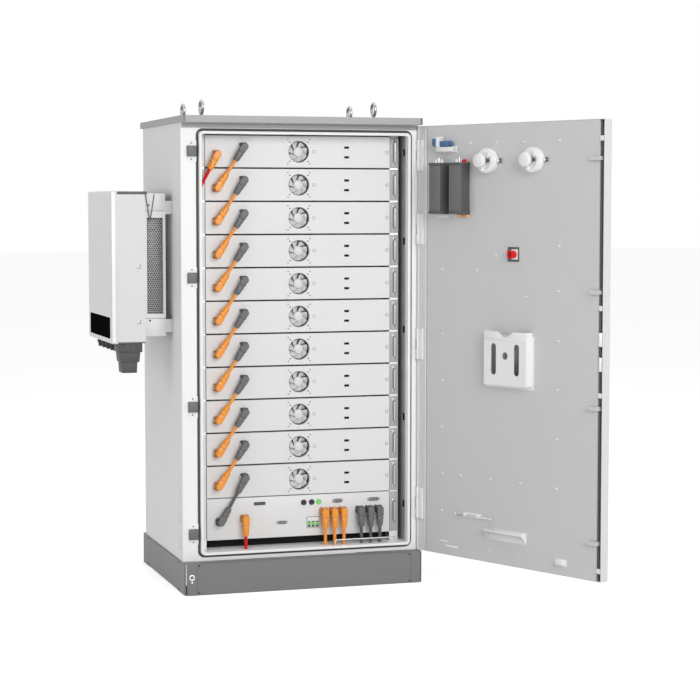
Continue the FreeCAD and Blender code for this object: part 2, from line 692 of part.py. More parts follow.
def battery_pack(number):
    """One pack: case, front plate with ears, fan opening and sockets."""
    z = pack_z(number)
    tag = "pack_%02d" % (number + 1)
    half, half_plate = pack_width / 2, pack_width / 2 + ear_width
    face_z = (z - pack_face_height / 2, z + pack_face_height / 2)
    body_z = (z - pack_body_height / 2, z + pack_body_height / 2)
    faceplate = box(tag + "_face", (rack_x - half_plate, rack_x + half_plate), (face_y, face_y + pack_metal),
                    face_z)
    case = box(tag + "_case", (rack_x - half, rack_x + half), (face_y, face_y + pack_depth), body_z)
    pieces = [faceplate, case]
    sockets = [rod("%s_socket_%s" % (tag, name), "Y", socket_radius, (x, height),
                   (face_y - socket_reach, face_y))
               for name, (x, height) in socket_places(number).items()]
    pieces += sockets
    inside = box(tag + "_inside", (rack_x - half + pack_metal, rack_x + half - pack_metal),
                 (face_y + pack_metal, face_y + pack_depth - pack_metal),
                 (body_z[0] + pack_metal, body_z[1] - pack_metal))
    holes = [inside, rod(tag + "_fan_hole", "Y", fan_bore, (rack_x, z), (face_y, face_y + pack_metal))]
    for name, side in (("low", -1), ("high", 1)):
        middle = z + side * port_spread
        holes.append(box("%s_port_%s" % (tag, name),
                         (rack_x + port_x - port_width / 2, rack_x + port_x + port_width / 2),
                         (face_y, face_y + pack_metal), (middle - port_height / 2, middle + port_height / 2)))
    node(cut(tag + "_shell", fused(tag + "_solid", pieces), holes), "battery_pack_%02d" % (number + 1))


port_edge = size("port_edge", 235.5, "data sockets from the front plate's right edge")
port_x = rack_right - rack_x - port_edge
port_spread = size("port_spread", 19, "data sockets above and below the pack centre")
port_width = size("port_width", 20, "data socket opening")
port_height = size("port_height", 8, "data socket opening height")


def socket_places(number):
    """X and Z of a pack's two power sockets."""
    z = pack_z(number)
    return {"positive": (rack_x - positive_x, z - positive_z),
            "negative": (rack_x - negative_x, z + negative_z)}


def pack_insides():
    """The cell block on each pack's base and the fan frame behind its front plate."""
    blocks, frames = [], []
    for number in range(PACKS):
        z = pack_z(number)
        floor_z = z - pack_body_height / 2 + pack_metal
        half = pack_width / 2 - cell_margin
        rear = face_y + pack_depth - pack_metal - cell_margin / 2
        blocks.append(box("cells_%02d" % number, (rack_x - half, rack_x + half),
                          (face_y + pack_metal + electronics_depth, rear),
                          (floor_z, z + pack_body_height / 2 - cell_margin / 2)))
        blank = box("fan_blank_%02d" % number, (rack_x - fan_size / 2, rack_x + fan_size / 2),
                    (face_y + pack_metal, face_y + pack_metal + fan_depth),
                    (z - fan_size / 2, z + fan_size / 2))
        bore = rod("fan_bore_%02d" % number, "Y", fan_bore, (rack_x, z),
                   (face_y + pack_metal, face_y + pack_metal + fan_depth))
        seat = rod("fan_seat_%02d" % number, "Y", fan_hub, (rack_x, z),
                   (face_y + pack_metal + fan_depth - plate, face_y + pack_metal + fan_depth))
        arms = [box("fan_arm_%02d_%s" % (number, name), x, (face_y + pack_metal + fan_depth - plate,
                                                         face_y + pack_metal + fan_depth), height)
                for name, x, height in (
                    ("flat", (rack_x - fan_bore - plate / 2, rack_x + fan_bore + plate / 2),
                     (z - plate, z + plate)),
                    ("tall", (rack_x - plate, rack_x + plate),
                     (z - fan_bore - plate / 2, z + fan_bore + plate / 2)))]
        stub = rod("fan_stub_%02d" % number, "Y", axle_radius, (rack_x, z),
                   (face_y + pack_metal + fan_depth / 2, face_y + pack_metal + fan_depth))
        ring = cut("fan_ring_%02d" % number, blank, [bore])
        frames.append(fused("fan_frame_%02d" % number, [ring, seat, stub] + arms))
    node(grouped("cell_set", blocks), "cell_blocks")
    node(grouped("fan_frame_set", frames), "fan_frames")


electronics_depth = size("electronics_depth", 95, "space for the fan and electronics behind a pack's front")
cell_margin = size("cell_margin", 24, "space round a pack's cells")
axle_radius = size("axle_radius", 3, "fan axle")


def fan_rotor(number):
    """A fan hub with twisted blades, bored for its axle."""
    z = pack_z(number)
    near = face_y + pack_metal + plate
    far = face_y + pack_metal + fan_depth - plate - flush_gap
    hub_z = value_of(far - near)
    hub = Part.makeCylinder(value_of(fan_hub), hub_z)
    reach = value_of(fan_bore - blade_tip_gap)
    depth = hub_z - value_of(plate)
    pitch = math.radians(blade_pitch.value)
    root = value_of(fan_hub - plate)
    blade = Part.makeBox(reach - root, value_of(blade_thickness), depth / math.cos(pitch),
                         Vector(root, -value_of(blade_thickness) / 2, 0))
    blade.rotate(Vector(0, 0, 0), Vector(1, 0, 0), blade_pitch.value)
    limit = Part.makeCylinder(reach, hub_z)
    blades = []
    for turn in range(BLADES):
        copy = blade.copy()
        copy.translate(Vector(0, depth * math.tan(pitch) / 2, (hub_z - depth) / 2))
        copy.rotate(Vector(), Vector(0, 0, 1), 360.0 / BLADES * turn)
        blades.append(copy.common(limit))
    bore = Part.makeCylinder(value_of(axle_radius + pin_clearance), hub_z - value_of(plate),
                             Vector(0, 0, value_of(plate)))
    rotor = hub.fuse(blades).cut(bore).removeSplitter()
    thing = doc.addObject("Part::Feature", "rotor_%02d" % (number + 1))
    thing.Shape = rotor
    thing.Placement = Placement(Vector(), TURNS["Y"])
    place(thing, rack_x, near, z)
    node(thing, "fan_rotor_%02d" % (number + 1))


# Power plugs and cables

def elbow(name, x, z, tail_angle):
    """An elbow plug: octagonal head over its socket and a barrel along tail_angle, degrees from +X."""
    head = doc.addObject("Part::Prism", name + "_head")
    head.Polygon = 8
    bind(head, "Circumradius", plug_head)
    bind(head, "Height", plug_thick)
    head.Placement = Placement(Vector(), TURNS["Y"])
    top = face_y - socket_reach
    place(head, x, top - plug_thick, z)
    barrel = doc.addObject("Part::Cylinder", name + "_barrel")
    bind(barrel, "Radius", plug_radius)
    bind(barrel, "Height", plug_length)
    direction = Vector(math.cos(math.radians(tail_angle)), 0, math.sin(math.radians(tail_angle)))
    barrel.Placement = Placement(Vector(), Rotation(Vector(0, 0, 1), direction))
    place(barrel, x, plug_y, z)
    collar = doc.addObject("Part::Cylinder", name + "_collar")
    bind(collar, "Radius", plug_collar)
    bind(collar, "Height", plug_length / 3)
    collar.Placement = Placement(direction * value_of(plug_length / 3), Rotation(Vector(0, 0, 1), direction))
    place(collar, x + plug_length / 3 * direction.x, plug_y, z + plug_length / 3 * direction.z)
    return fused(name, [head, barrel, collar])


lead_slope = size("lead_slope", 1.84, "fall of the feed lead per unit to the left")
control_plug_z = size("control_plug_z", 318, "output plugs on the control box")
feed_plug_z = size("feed_plug_z", 303, "feed plug on the control box")
link_edge = size("link_edge", 92.5, "link socket from the control box's left edge")
link_z = size("link_z", 281, "link socket height on the control box")


def link_angle():
    """Slope of the jumper from a pack's negative plug to the next pack's positive plug, in degrees."""
    run = value_of(positive_x - negative_x)
    drop = value_of(pack_pitch + positive_z + negative_z)
    return math.degrees(math.atan2(-drop, -run))


def straight_cable(name, start, end):
    """A straight round cable between two points."""
    axis = Vector(*[value_of(b) - value_of(a) for a, b in zip(start, end)])
    tube = doc.addObject("Part::Cylinder", name)
    bind(tube, "Radius", cable_radius)
    tube.Height = axis.Length
    tube.Placement = Placement(Vector(*[value_of(a) for a in start]), Rotation(Vector(0, 0, 1), axis))
    return tube


def power_leads():
    """Elbow plugs on every power socket, the jumpers between packs and the leads into the floor."""
    plugs, cables = [], []
    slope = link_angle()
    for number in range(PACKS):
        places = socket_places(number)
        below = socket_places(number + 1)["positive"] if number < PACKS - 1 else (rack_left + link_edge,
                                                                                  link_z)
        above = places["positive"]
        plugs.append(elbow("plug_positive_%02d" % number, above[0], above[1],
                           slope + 180 if number else math.degrees(math.atan2(-lead_slope.value, -1))))
        start = places["negative"]
        angle = math.degrees(math.atan2(value_of(below[1] - start[1]), value_of(below[0] - start[0])))
        plugs.append(elbow("plug_negative_%02d" % number, start[0], start[1], angle))
        if number == PACKS - 1:
            plugs.append(elbow("plug_link", below[0], below[1], angle + 180))
        length = math.hypot(value_of(below[1] - start[1]), value_of(below[0] - start[0]))
        ratio = value_of(plug_length) / length
        ends = [(start[0] + (below[0] - start[0]) * part, plug_y, start[1] + (below[1] - start[1]) * part)
                for part in (ratio, 1 - ratio)]
        cables.append(straight_cable("jumper_%02d" % number, *ends))
    for number, x in enumerate(drop_places()):
        z = feed_plug_z if number == 0 else control_plug_z
        plugs.append(elbow("plug_drop_%d" % number, x, z, -90))
        cables.append(rod("drop_%d" % number, "Z", cable_radius, (x, plug_y),
                          (opening_low - plate * 2, z - plug_length)))
    cables.append(feed_lead())
    node(grouped("plug_set", plugs), "power_plugs")
    node(grouped("cable_set", cables), "power_cables")


def feed_height(x):
    """Height of the feed lead's axis at a place across the cabinet."""
    top = socket_places(0)["positive"]
    return top[1] - (top[0] - x) * lead_slope


def feed_lead():
    """The straight lead from the top pack's positive plug through the left liner."""
    top = socket_places(0)["positive"]
    end_x = rack_x - pack_width / 2 - ear_width - liner_gap * 3
    reach = math.hypot(1, lead_slope.value)
    start_x = top[0] - plug_length * (1 / reach)
    return straight_cable("feed_lead", (start_x, plug_y, feed_height(start_x)),
                          (end_x, plug_y, feed_height(end_x)))


# Control box

def data_port(name, x, z, width, height):
    """A data socket's shell with its recess, centred on a place of the control box's front."""
    shell_x, shell_z = (x - width / 2, x + width / 2), (z - height / 2, z + height / 2)
    blank = box(name + "_shell", shell_x, (face_y - plate, face_y), shell_z)
    recess = box(name + "_recess", (shell_x[0] + metal, shell_x[1] - metal),
                 (face_y - plate, face_y - plate / 3),
                 (shell_z[0] + metal, shell_z[1] - metal))
    return cut(name, blank, [recess])


def control_box():
    """The control box with its sockets, lamp, breaker and start button."""
    half, half_plate = pack_width / 2, pack_width / 2 + ear_width
    top = control_high - (pack_face_height - pack_body_height) / 2
    faceplate = box("control_face", (rack_x - half_plate, rack_x + half_plate), (face_y, face_y + pack_metal),
                    (control_low, control_high))
    case = box("control_case", (rack_x - half, rack_x + half), (face_y, face_y + pack_depth),
               (control_base, top))
    pieces = [faceplate, case]
    for number, x in enumerate(drop_places()):
        z = feed_plug_z if number == 0 else control_plug_z
        pieces.append(rod("control_socket_%d" % number, "Y", socket_radius, (x, z),
                          (face_y - socket_reach, face_y)))
    pieces.append(rod("control_socket_link", "Y", socket_radius, (rack_left + link_edge, link_z),
                      (face_y - socket_reach, face_y)))
    inside = box("control_inside", (rack_x - half + pack_metal, rack_x + half - pack_metal),
                 (face_y + pack_metal, face_y + pack_depth - pack_metal),
                 (control_base + pack_metal, top - pack_metal))
    start_hole = rod("start_hole", "Y", start_radius + pin_clearance, (rack_right - start_edge, lamp_z),
                     (face_y - flush_gap, face_y + pack_metal))
    window = box("breaker_window", breaker_x(), (face_y - flush_gap, face_y + pack_metal), breaker_z())
    node(cut("control_shell", fused("control_solid", pieces), [inside, start_hole, window]), "control_box")

    fittings = []
    lamps = (rack_right - lamp_one, rack_right - lamp_two)
    for number, x in enumerate(lamps):
        fittings.append(rod("round_port_%d" % number, "Y", start_radius + plate, (x, lamp_z),
                            (face_y - plate * 2, face_y)))
    top_row = lamp_z + flush_gap * 2
    fittings.append(data_port("terminal_port", lamps[0] - terminal_gap, top_row + plate, wide_port,
                              small_port))
    fittings.append(data_port("output_port", rack_right - output_port, top_row, small_port * 2,
                              small_port * 1.3))
    fittings.append(data_port("signal_port", rack_right - signal_port, top_row, wide_port * 0.8,
                              small_port * 1.15))
    fittings.append(data_port("breaker_port", breaker_x()[0] - breaker_port,
                              breaker_low + breaker_height * 0.63,
                              small_port * 2.7, small_port))
    bezel = rod("start_bezel_blank", "Y", start_radius + plate, (rack_right - start_edge, lamp_z),
                (face_y - plate, face_y))
    bore = rod("start_bezel_bore", "Y", start_radius + pin_clearance, (rack_right - start_edge, lamp_z),
               (face_y - plate, face_y))
    fittings.append(cut("start_bezel", bezel, [bore]))
    x, z = breaker_x(), breaker_z()
    inset = flush_gap
    housing = box("breaker_housing", (x[0] + inset, x[1] - inset),
                  (face_y - plate * 3, face_y + breaker_depth),
                  (z[0] + inset, z[1] - inset))
    pocket = box("breaker_pocket", (x[0] + plate, x[1] - plate), (face_y - plate * 3, face_y + plate * 3),
                 (z[0] + plate, z[0] + plate + toggle_window))
    fittings.append(cut("breaker_body", housing, [pocket]))
    node(grouped("control_fitting_set", fittings), "control_fittings")

    button = rod("start_cap", "Y", start_radius, (rack_right - start_edge, lamp_z),
                 (face_y - plate * 3, face_y + plate * 4))
    node(button, "start_button")

    axle_z = z[0] + plate + toggle_window / 2
    shaft = rod("toggle_shaft", "X", toggle_hub, (face_y, axle_z),
                (x[0] + plate + flush_gap, x[1] - plate - flush_gap))
    pieces = [shaft]
    width = (x[1] - x[0]) / 3
    for number in range(3):
        centre = x[0] + width * (number + 0.5)
        pieces.append(box("toggle_lever_%d" % number, (centre - toggle_width / 2, centre + toggle_width / 2),
                          (face_y - plate * 5, face_y), (axle_z - toggle_hub / 2, axle_z + toggle_hub / 2)))
    toggle = fused("toggle_set", pieces)
    toggle.Placement = Placement(Vector(), Rotation(Vector(-1, 0, 0), toggle_tilt.value))
    turn = "(%s * 1deg)" % toggle_tilt.text
    y, z = text_of(face_y), text_of(axle_z)
    toggle.setExpression("Placement.Rotation.Angle", turn)
    toggle.setExpression("Placement.Base.y", "%s - %s * cos(%s) - %s * sin(%s)" % (y, y, turn, z, turn))
    toggle.setExpression("Placement.Base.z", "%s + %s * sin(%s) - %s * cos(%s)" % (z, y, turn, z, turn))
    node(toggle, "breaker_toggle")


start_radius = size("start_radius", 9, "start button cap")
start_edge = size("start_edge", 361.5, "start button from the control box's right edge")
lamp_one = size("lamp_one", 429.5, "first round port from the control box's right edge")
lamp_two = size("lamp_two", 393.5, "second round port from the control box's right edge")
terminal_gap = size("terminal_gap", 196, "terminal block left of the first round port")
output_port = size("output_port", 276.5, "data socket between the outputs, from the right edge")
signal_port = size("signal_port", 112.5, "data socket beyond the outputs, from the right edge")
breaker_port = size("breaker_port", 114, "data socket left of the breaker")
wide_port = size("wide_port", 50, "terminal block width")
small_port = size("small_port", 13, "data socket height")
lamp_z = size("lamp_z", 354, "round ports and start button height")
breaker_edge = size("breaker_edge", 414.5, "breaker's left side from the control box's right edge")
breaker_width = size("breaker_width", 54, "three-pole breaker width")
breaker_low = size("breaker_low", 243, "breaker's lower edge")
breaker_height = size("breaker_height", 46, "breaker front height")
breaker_depth = size("breaker_depth", 60, "breaker behind the front plate")
toggle_window = size("toggle_window", 24, "opening for the toggles")
toggle_hub = size("toggle_hub", 6, "toggle shaft radius")
toggle_tilt = size("toggle_tilt", 30, "toggle above level when on, degrees")
toggle_width = size("toggle_width", 10, "one toggle lever")


def breaker_x():
    """Left and right edges of the breaker."""
    return (rack_right - breaker_edge, rack_right - breaker_edge + breaker_width)


def breaker_z():
    """Lower and upper edges of the breaker."""
    return (breaker_low, breaker_low + breaker_height)


# Door

def swung(thing):
    """Turns a piece drawn on the closed door about the hinge pins to the stored pose."""
    turn = "(%s * 1deg)" % door_open_angle.text
    thing.Placement = Placement(Vector(), Rotation(Vector(0, 0, 1), door_open_angle.value))
    bind(thing, "Placement.Rotation.Angle", door_open_angle)
    x, y = text_of(pin_x), text_of(pin_y)
    thing.setExpression("Placement.Base.x", "%s - %s * cos(%s) + %s * sin(%s)" % (x, x, turn, y, turn))
    thing.setExpression("Placement.Base.y", "%s - %s * sin(%s) - %s * cos(%s)" % (y, x, turn, y, turn))
    return thing


def door_node(thing, label):
    """Names a piece of the door and swings it open with the rest."""
    return node(swung(grouped(label + "_group", [thing])), label)


def door_panels():
    """Outer pan, inner sheet and the gap strip on the hinge side."""
    pan = new_body("door_pan_body")
    x, z = (door_left, door_right), (door_low, door_high)
    feature(pan, "Pad", "door_block", "Y", x, z, (front, door_y))
    feature(pan, "Pocket", "door_hollow", "Y", (x[0] + metal, x[1] - metal), (z[0] + metal, z[1] - metal),
            (front + metal, door_y))
    flange = (door_right - hinge_margin, door_right - metal)
    feature(pan, "Pad", "door_hinge_flange", "Y", flange, (z[0] + metal, z[1] - metal),
            (door_y - flange_drop - metal, door_y - flange_drop))
    for number, height in enumerate(hinge_heights):
        reach = (height - hinge_length / 2 - metal, height + hinge_length / 2 + metal)
        hole(pan, "hinge_relief_%d" % number, "Z", knuckle_radius + flush_gap, (pin_x, pin_y), reach)
    hole(pan, "spindle_hole", "Y", spindle_radius + pin_clearance, (spindle_x, lock_height),
         (front, front + metal))
    hole(pan, "stop_hole", "Y", stop_neck + flush_gap, (stop_x, stop_z), (front, front + metal))
    door_node(pan, "door_outer_panel")

    inner = new_body("door_inner_body")
    ix = (channel_x, door_right - hinge_margin - flush_gap)
    iz = (door_low + metal + flush_gap, door_high - metal - flush_gap)
    feature(inner, "Pad", "inner_block", "Y", ix, iz, (front + metal, door_y))
    feature(inner, "Pocket", "inner_hollow", "Y", (ix[0] + metal, ix[1] - metal),
            (iz[0] + metal, iz[1] - metal),
            (front + metal, door_y - metal))
    feature(inner, "Pocket", "lock_window", "X", (front + metal + plate, door_y - plate),
            (lock_height - lock_window_low, lock_height + lock_window_high), (ix[0], ix[0] + metal))
    hole(inner, "stop_body_hole", "Y", stop_neck + flush_gap, (stop_x, stop_z), (door_y - metal, door_y))
    door_node(inner, "door_inner_panel")


flange_drop = size("flange_drop", 6, "hinge side flange below the inner sheet")
spindle_radius = size("spindle_radius", 6, "handle spindle")
stop_neck = size("stop_neck", 11, "stop button neck radius")
stop_door_x = size("stop_door_x", 561, "stop button from the hinge pins")
stop_drop = size("stop_drop", 538, "stop button below the door's upper edge")
stop_z = door_high - stop_drop
lock_window_low = size("lock_window_low", 90, "lock opening below the spindle")
lock_window_high = size("lock_window_high", 40, "lock opening above the spindle")
spindle_x = door_left + lock_inset
stop_x = pin_x - stop_door_x


def hinges():
    """Four three-knuckle hinges: outer knuckles on the frame, the middle one on the door."""
    frame_parts, door_parts = [], []
    third = hinge_length / 3
    arm = (pin_x - knuckle_radius, pin_x - knuckle_radius + plate)
    for number, height in enumerate(hinge_heights):
        low, high = height - hinge_length / 2, height + hinge_length / 2
        pieces = [rod("hinge_pin_%d" % number, "Z", pin_radius, (pin_x, pin_y), (low, high)),
                  box("hinge_foot_%d" % number, (pin_x - knuckle_radius * 2.8, arm[1]),
                      (frame_y - plate, frame_y),
                      (low, high))]
        for word, z in (("low", (low, low + third)), ("high", (high - third, high))):
            pieces.append(rod("hinge_knuckle_%s_%d" % (word, number), "Z", knuckle_radius, (pin_x, pin_y), z))
            pieces.append(box("hinge_arm_%s_%d" % (word, number), arm, (pin_y, frame_y), z))
        frame_parts.append(fused("hinge_frame_%d" % number, pieces))
        middle = (low + third + knuckle_gap, high - third - knuckle_gap)
        leaf_edge = pin_x - knuckle_radius - flush_gap * 2
        blank = fused("hinge_door_blank_%d" % number, [
            rod("hinge_middle_%d" % number, "Z", knuckle_radius, (pin_x, pin_y), middle),
            box("hinge_neck_%d" % number, (leaf_edge, pin_x), (door_y, door_y + plate), middle),
            box("hinge_leaf_%d" % number, (leaf_edge - leaf_width, leaf_edge), (door_y, door_y + plate),
                (low, high)),
            box("hinge_shim_%d" % number, (leaf_edge - leaf_width, leaf_edge), (door_y - flange_drop, door_y),
                (low, high))])
        bore = rod("hinge_bore_%d" % number, "Z", pin_radius + pin_clearance, (pin_x, pin_y), middle)
        door_parts.append(cut("hinge_door_%d" % number, blank, [bore]))
    node(grouped("hinge_frame_set", frame_parts + keepers()), "frame_fittings")
    node(swung(grouped("hinge_door_set", door_parts)), "door_hinges")


leaf_width = size("leaf_width", 20, "hinge leaf on the door")


def keepers():
    """Four striker brackets on the left pillar that the lock bars hook behind."""
    result = []
    x = (left + keeper_x - keeper_width / 2, left + keeper_x + keeper_width / 2)
    for number, height in enumerate(keeper_heights):
        z = (height - keeper_height / 2, height + keeper_height / 2)
        blank = box("keeper_blank_%d" % number, x, (frame_y - keeper_rise, frame_y), z)
        mouth = box("keeper_mouth_%d" % number, (x[0], x[1] - plate),
                    (frame_y - keeper_rise + plate, frame_y - plate), z)
        seat = box("keeper_seat_%d" % number, (x[0], x[1] - flush_gap), (frame_y - plate / 2, frame_y),
                   (z[0] - keeper_height / 2, z[1] + keeper_height / 2))
        result.append(fused("keeper_%d" % number, [cut("keeper_hook_%d" % number, blank, [mouth]), seat]))
    return result


keeper_rise = size("keeper_rise", 14, "keeper in front of the frame")


def lock():
    """Handle with its spindle and cam, and the two lock bars that it drives."""
    bar_x = (door_left + metal + plate, door_left + metal + plate + bar_width)
    bar_y = (cam_y + cam_thick + flush_gap, cam_y + cam_thick + flush_gap + bar_thick)
    swing = math.radians(value_of(cam_swing) / 2)
    rise = math.sin(swing)
    side = math.cos(swing)
    pin_rise, pin_side = cam_pin_circle * rise, cam_pin_circle * side
    spindle = rod("handle_spindle", "Y", spindle_radius, (spindle_x, lock_height),
                  (front - handle_lift, cam_y + cam_thick))
    grip = new_body("handle_grip_body")
    feature(grip, "Pad", "handle_grip", "Y", (spindle_x - grip_width / 2, spindle_x + handle_length),
            (lock_height - grip_width / 2, lock_height + grip_width / 2),
            (front - handle_lift - grip_width / 2, front - handle_lift), grip_width * 0.45)
    cam = rod("handle_cam", "Y", cam_pin_circle + drive_pin * 2, (spindle_x, lock_height),
              (cam_y, cam_y + cam_thick))
    pins = [rod("drive_pin_upper", "Y", drive_pin, (spindle_x - pin_side, lock_height - pin_rise),
                (cam_y, bar_y[1])),
            rod("drive_pin_lower", "Y", drive_pin, (spindle_x + pin_side, lock_height + pin_rise),
                (cam_y, bar_y[1]))]
    door_node(fused("handle_solid", [spindle, grip, cam] + pins), "door_handle")

    slot_half = drive_pin + flush_gap
    foot_half = drive_pin + plate + flush_gap * 2
    tips = {"upper": (door_high - bar_end), "lower": (door_low + bar_end)}
    for name, pin_at, height in (("upper", spindle_x - pin_side, lock_height - pin_rise),
                                 ("lower", spindle_x + pin_side, lock_height + pin_rise)):
        up = name == "upper"
        slide = cam_pin_circle * (1 - side)
        slot_x = (pin_at - slide - slot_half, pin_at + slot_half) if up else (pin_at - slot_half,
                                                                              pin_at + slide + slot_half)
        pieces = []
        if up:
            start = height - foot_half
            pieces.append(box("upper_foot", (bar_x[0], slot_x[1] + plate), bar_y,
                              (start, height + foot_half)))
            z = (start, tips[name])
        else:
            top = lock_height - cam_pin_circle - lock_travel - foot_half
            pieces.append(box("lower_foot", (bar_x[0], slot_x[1] + plate), bar_y, (top - bar_width, top)))
            pieces.append(box("lower_arm", (slot_x[0] - plate, slot_x[1] + plate), bar_y,
                              (top - bar_width, height + foot_half)))
            z = (tips[name], top)
        pieces.append(box(name + "_bar", bar_x, bar_y, z))
        for number, keeper in enumerate(keeper_heights[2:] if up else keeper_heights[:2]):
            pieces += tongue("%s_tongue_%d" % (name, number), bar_x, bar_y, keeper, up)
        slot = box(name + "_slot", slot_x, bar_y, (height - slot_half, height + slot_half))
        door_node(cut(name + "_lock_bar", fused(name + "_lock_blank", pieces), [slot]), "lock_bar_" + name)


def tongue(name, bar_x, bar_y, keeper, up):
    """A hook on a lock bar that slides behind one keeper."""
    sign = 1 if up else -1
    start = keeper - sign * (keeper_height / 2 + lock_travel / 2 + bar_width / 2)
    hook = (frame_y - keeper_rise + plate + flush_gap, frame_y - plate - flush_gap)
    reach = left + keeper_x + keeper_width / 2 - plate - flush_gap
    low, high = start - bar_width / 2, start + bar_width / 2
    stem = box(name + "_stem", (bar_x[1] - bar_thick, bar_x[1]), (bar_y[0], hook[1]), (low, high))
    blade = box(name + "_blade", (bar_x[1] - bar_thick, reach), hook, (low, high))
    return [stem, blade]


cam_y = front + 18
cam_thick = size("cam_thick", 4, "lock cam thickness")
cam_swing = size("cam_swing", 80, "handle turn, degrees")
drive_pin = size("drive_pin", 3, "cam drive pin radius")
handle_lift = size("handle_lift", 14, "handle in front of the door")
handle_length = size("handle_length", 120, "handle lever length")
grip_width = size("grip_width", 22, "handle lever width")
bar_end = size("bar_end", 30, "lock bar end from the door's edge")


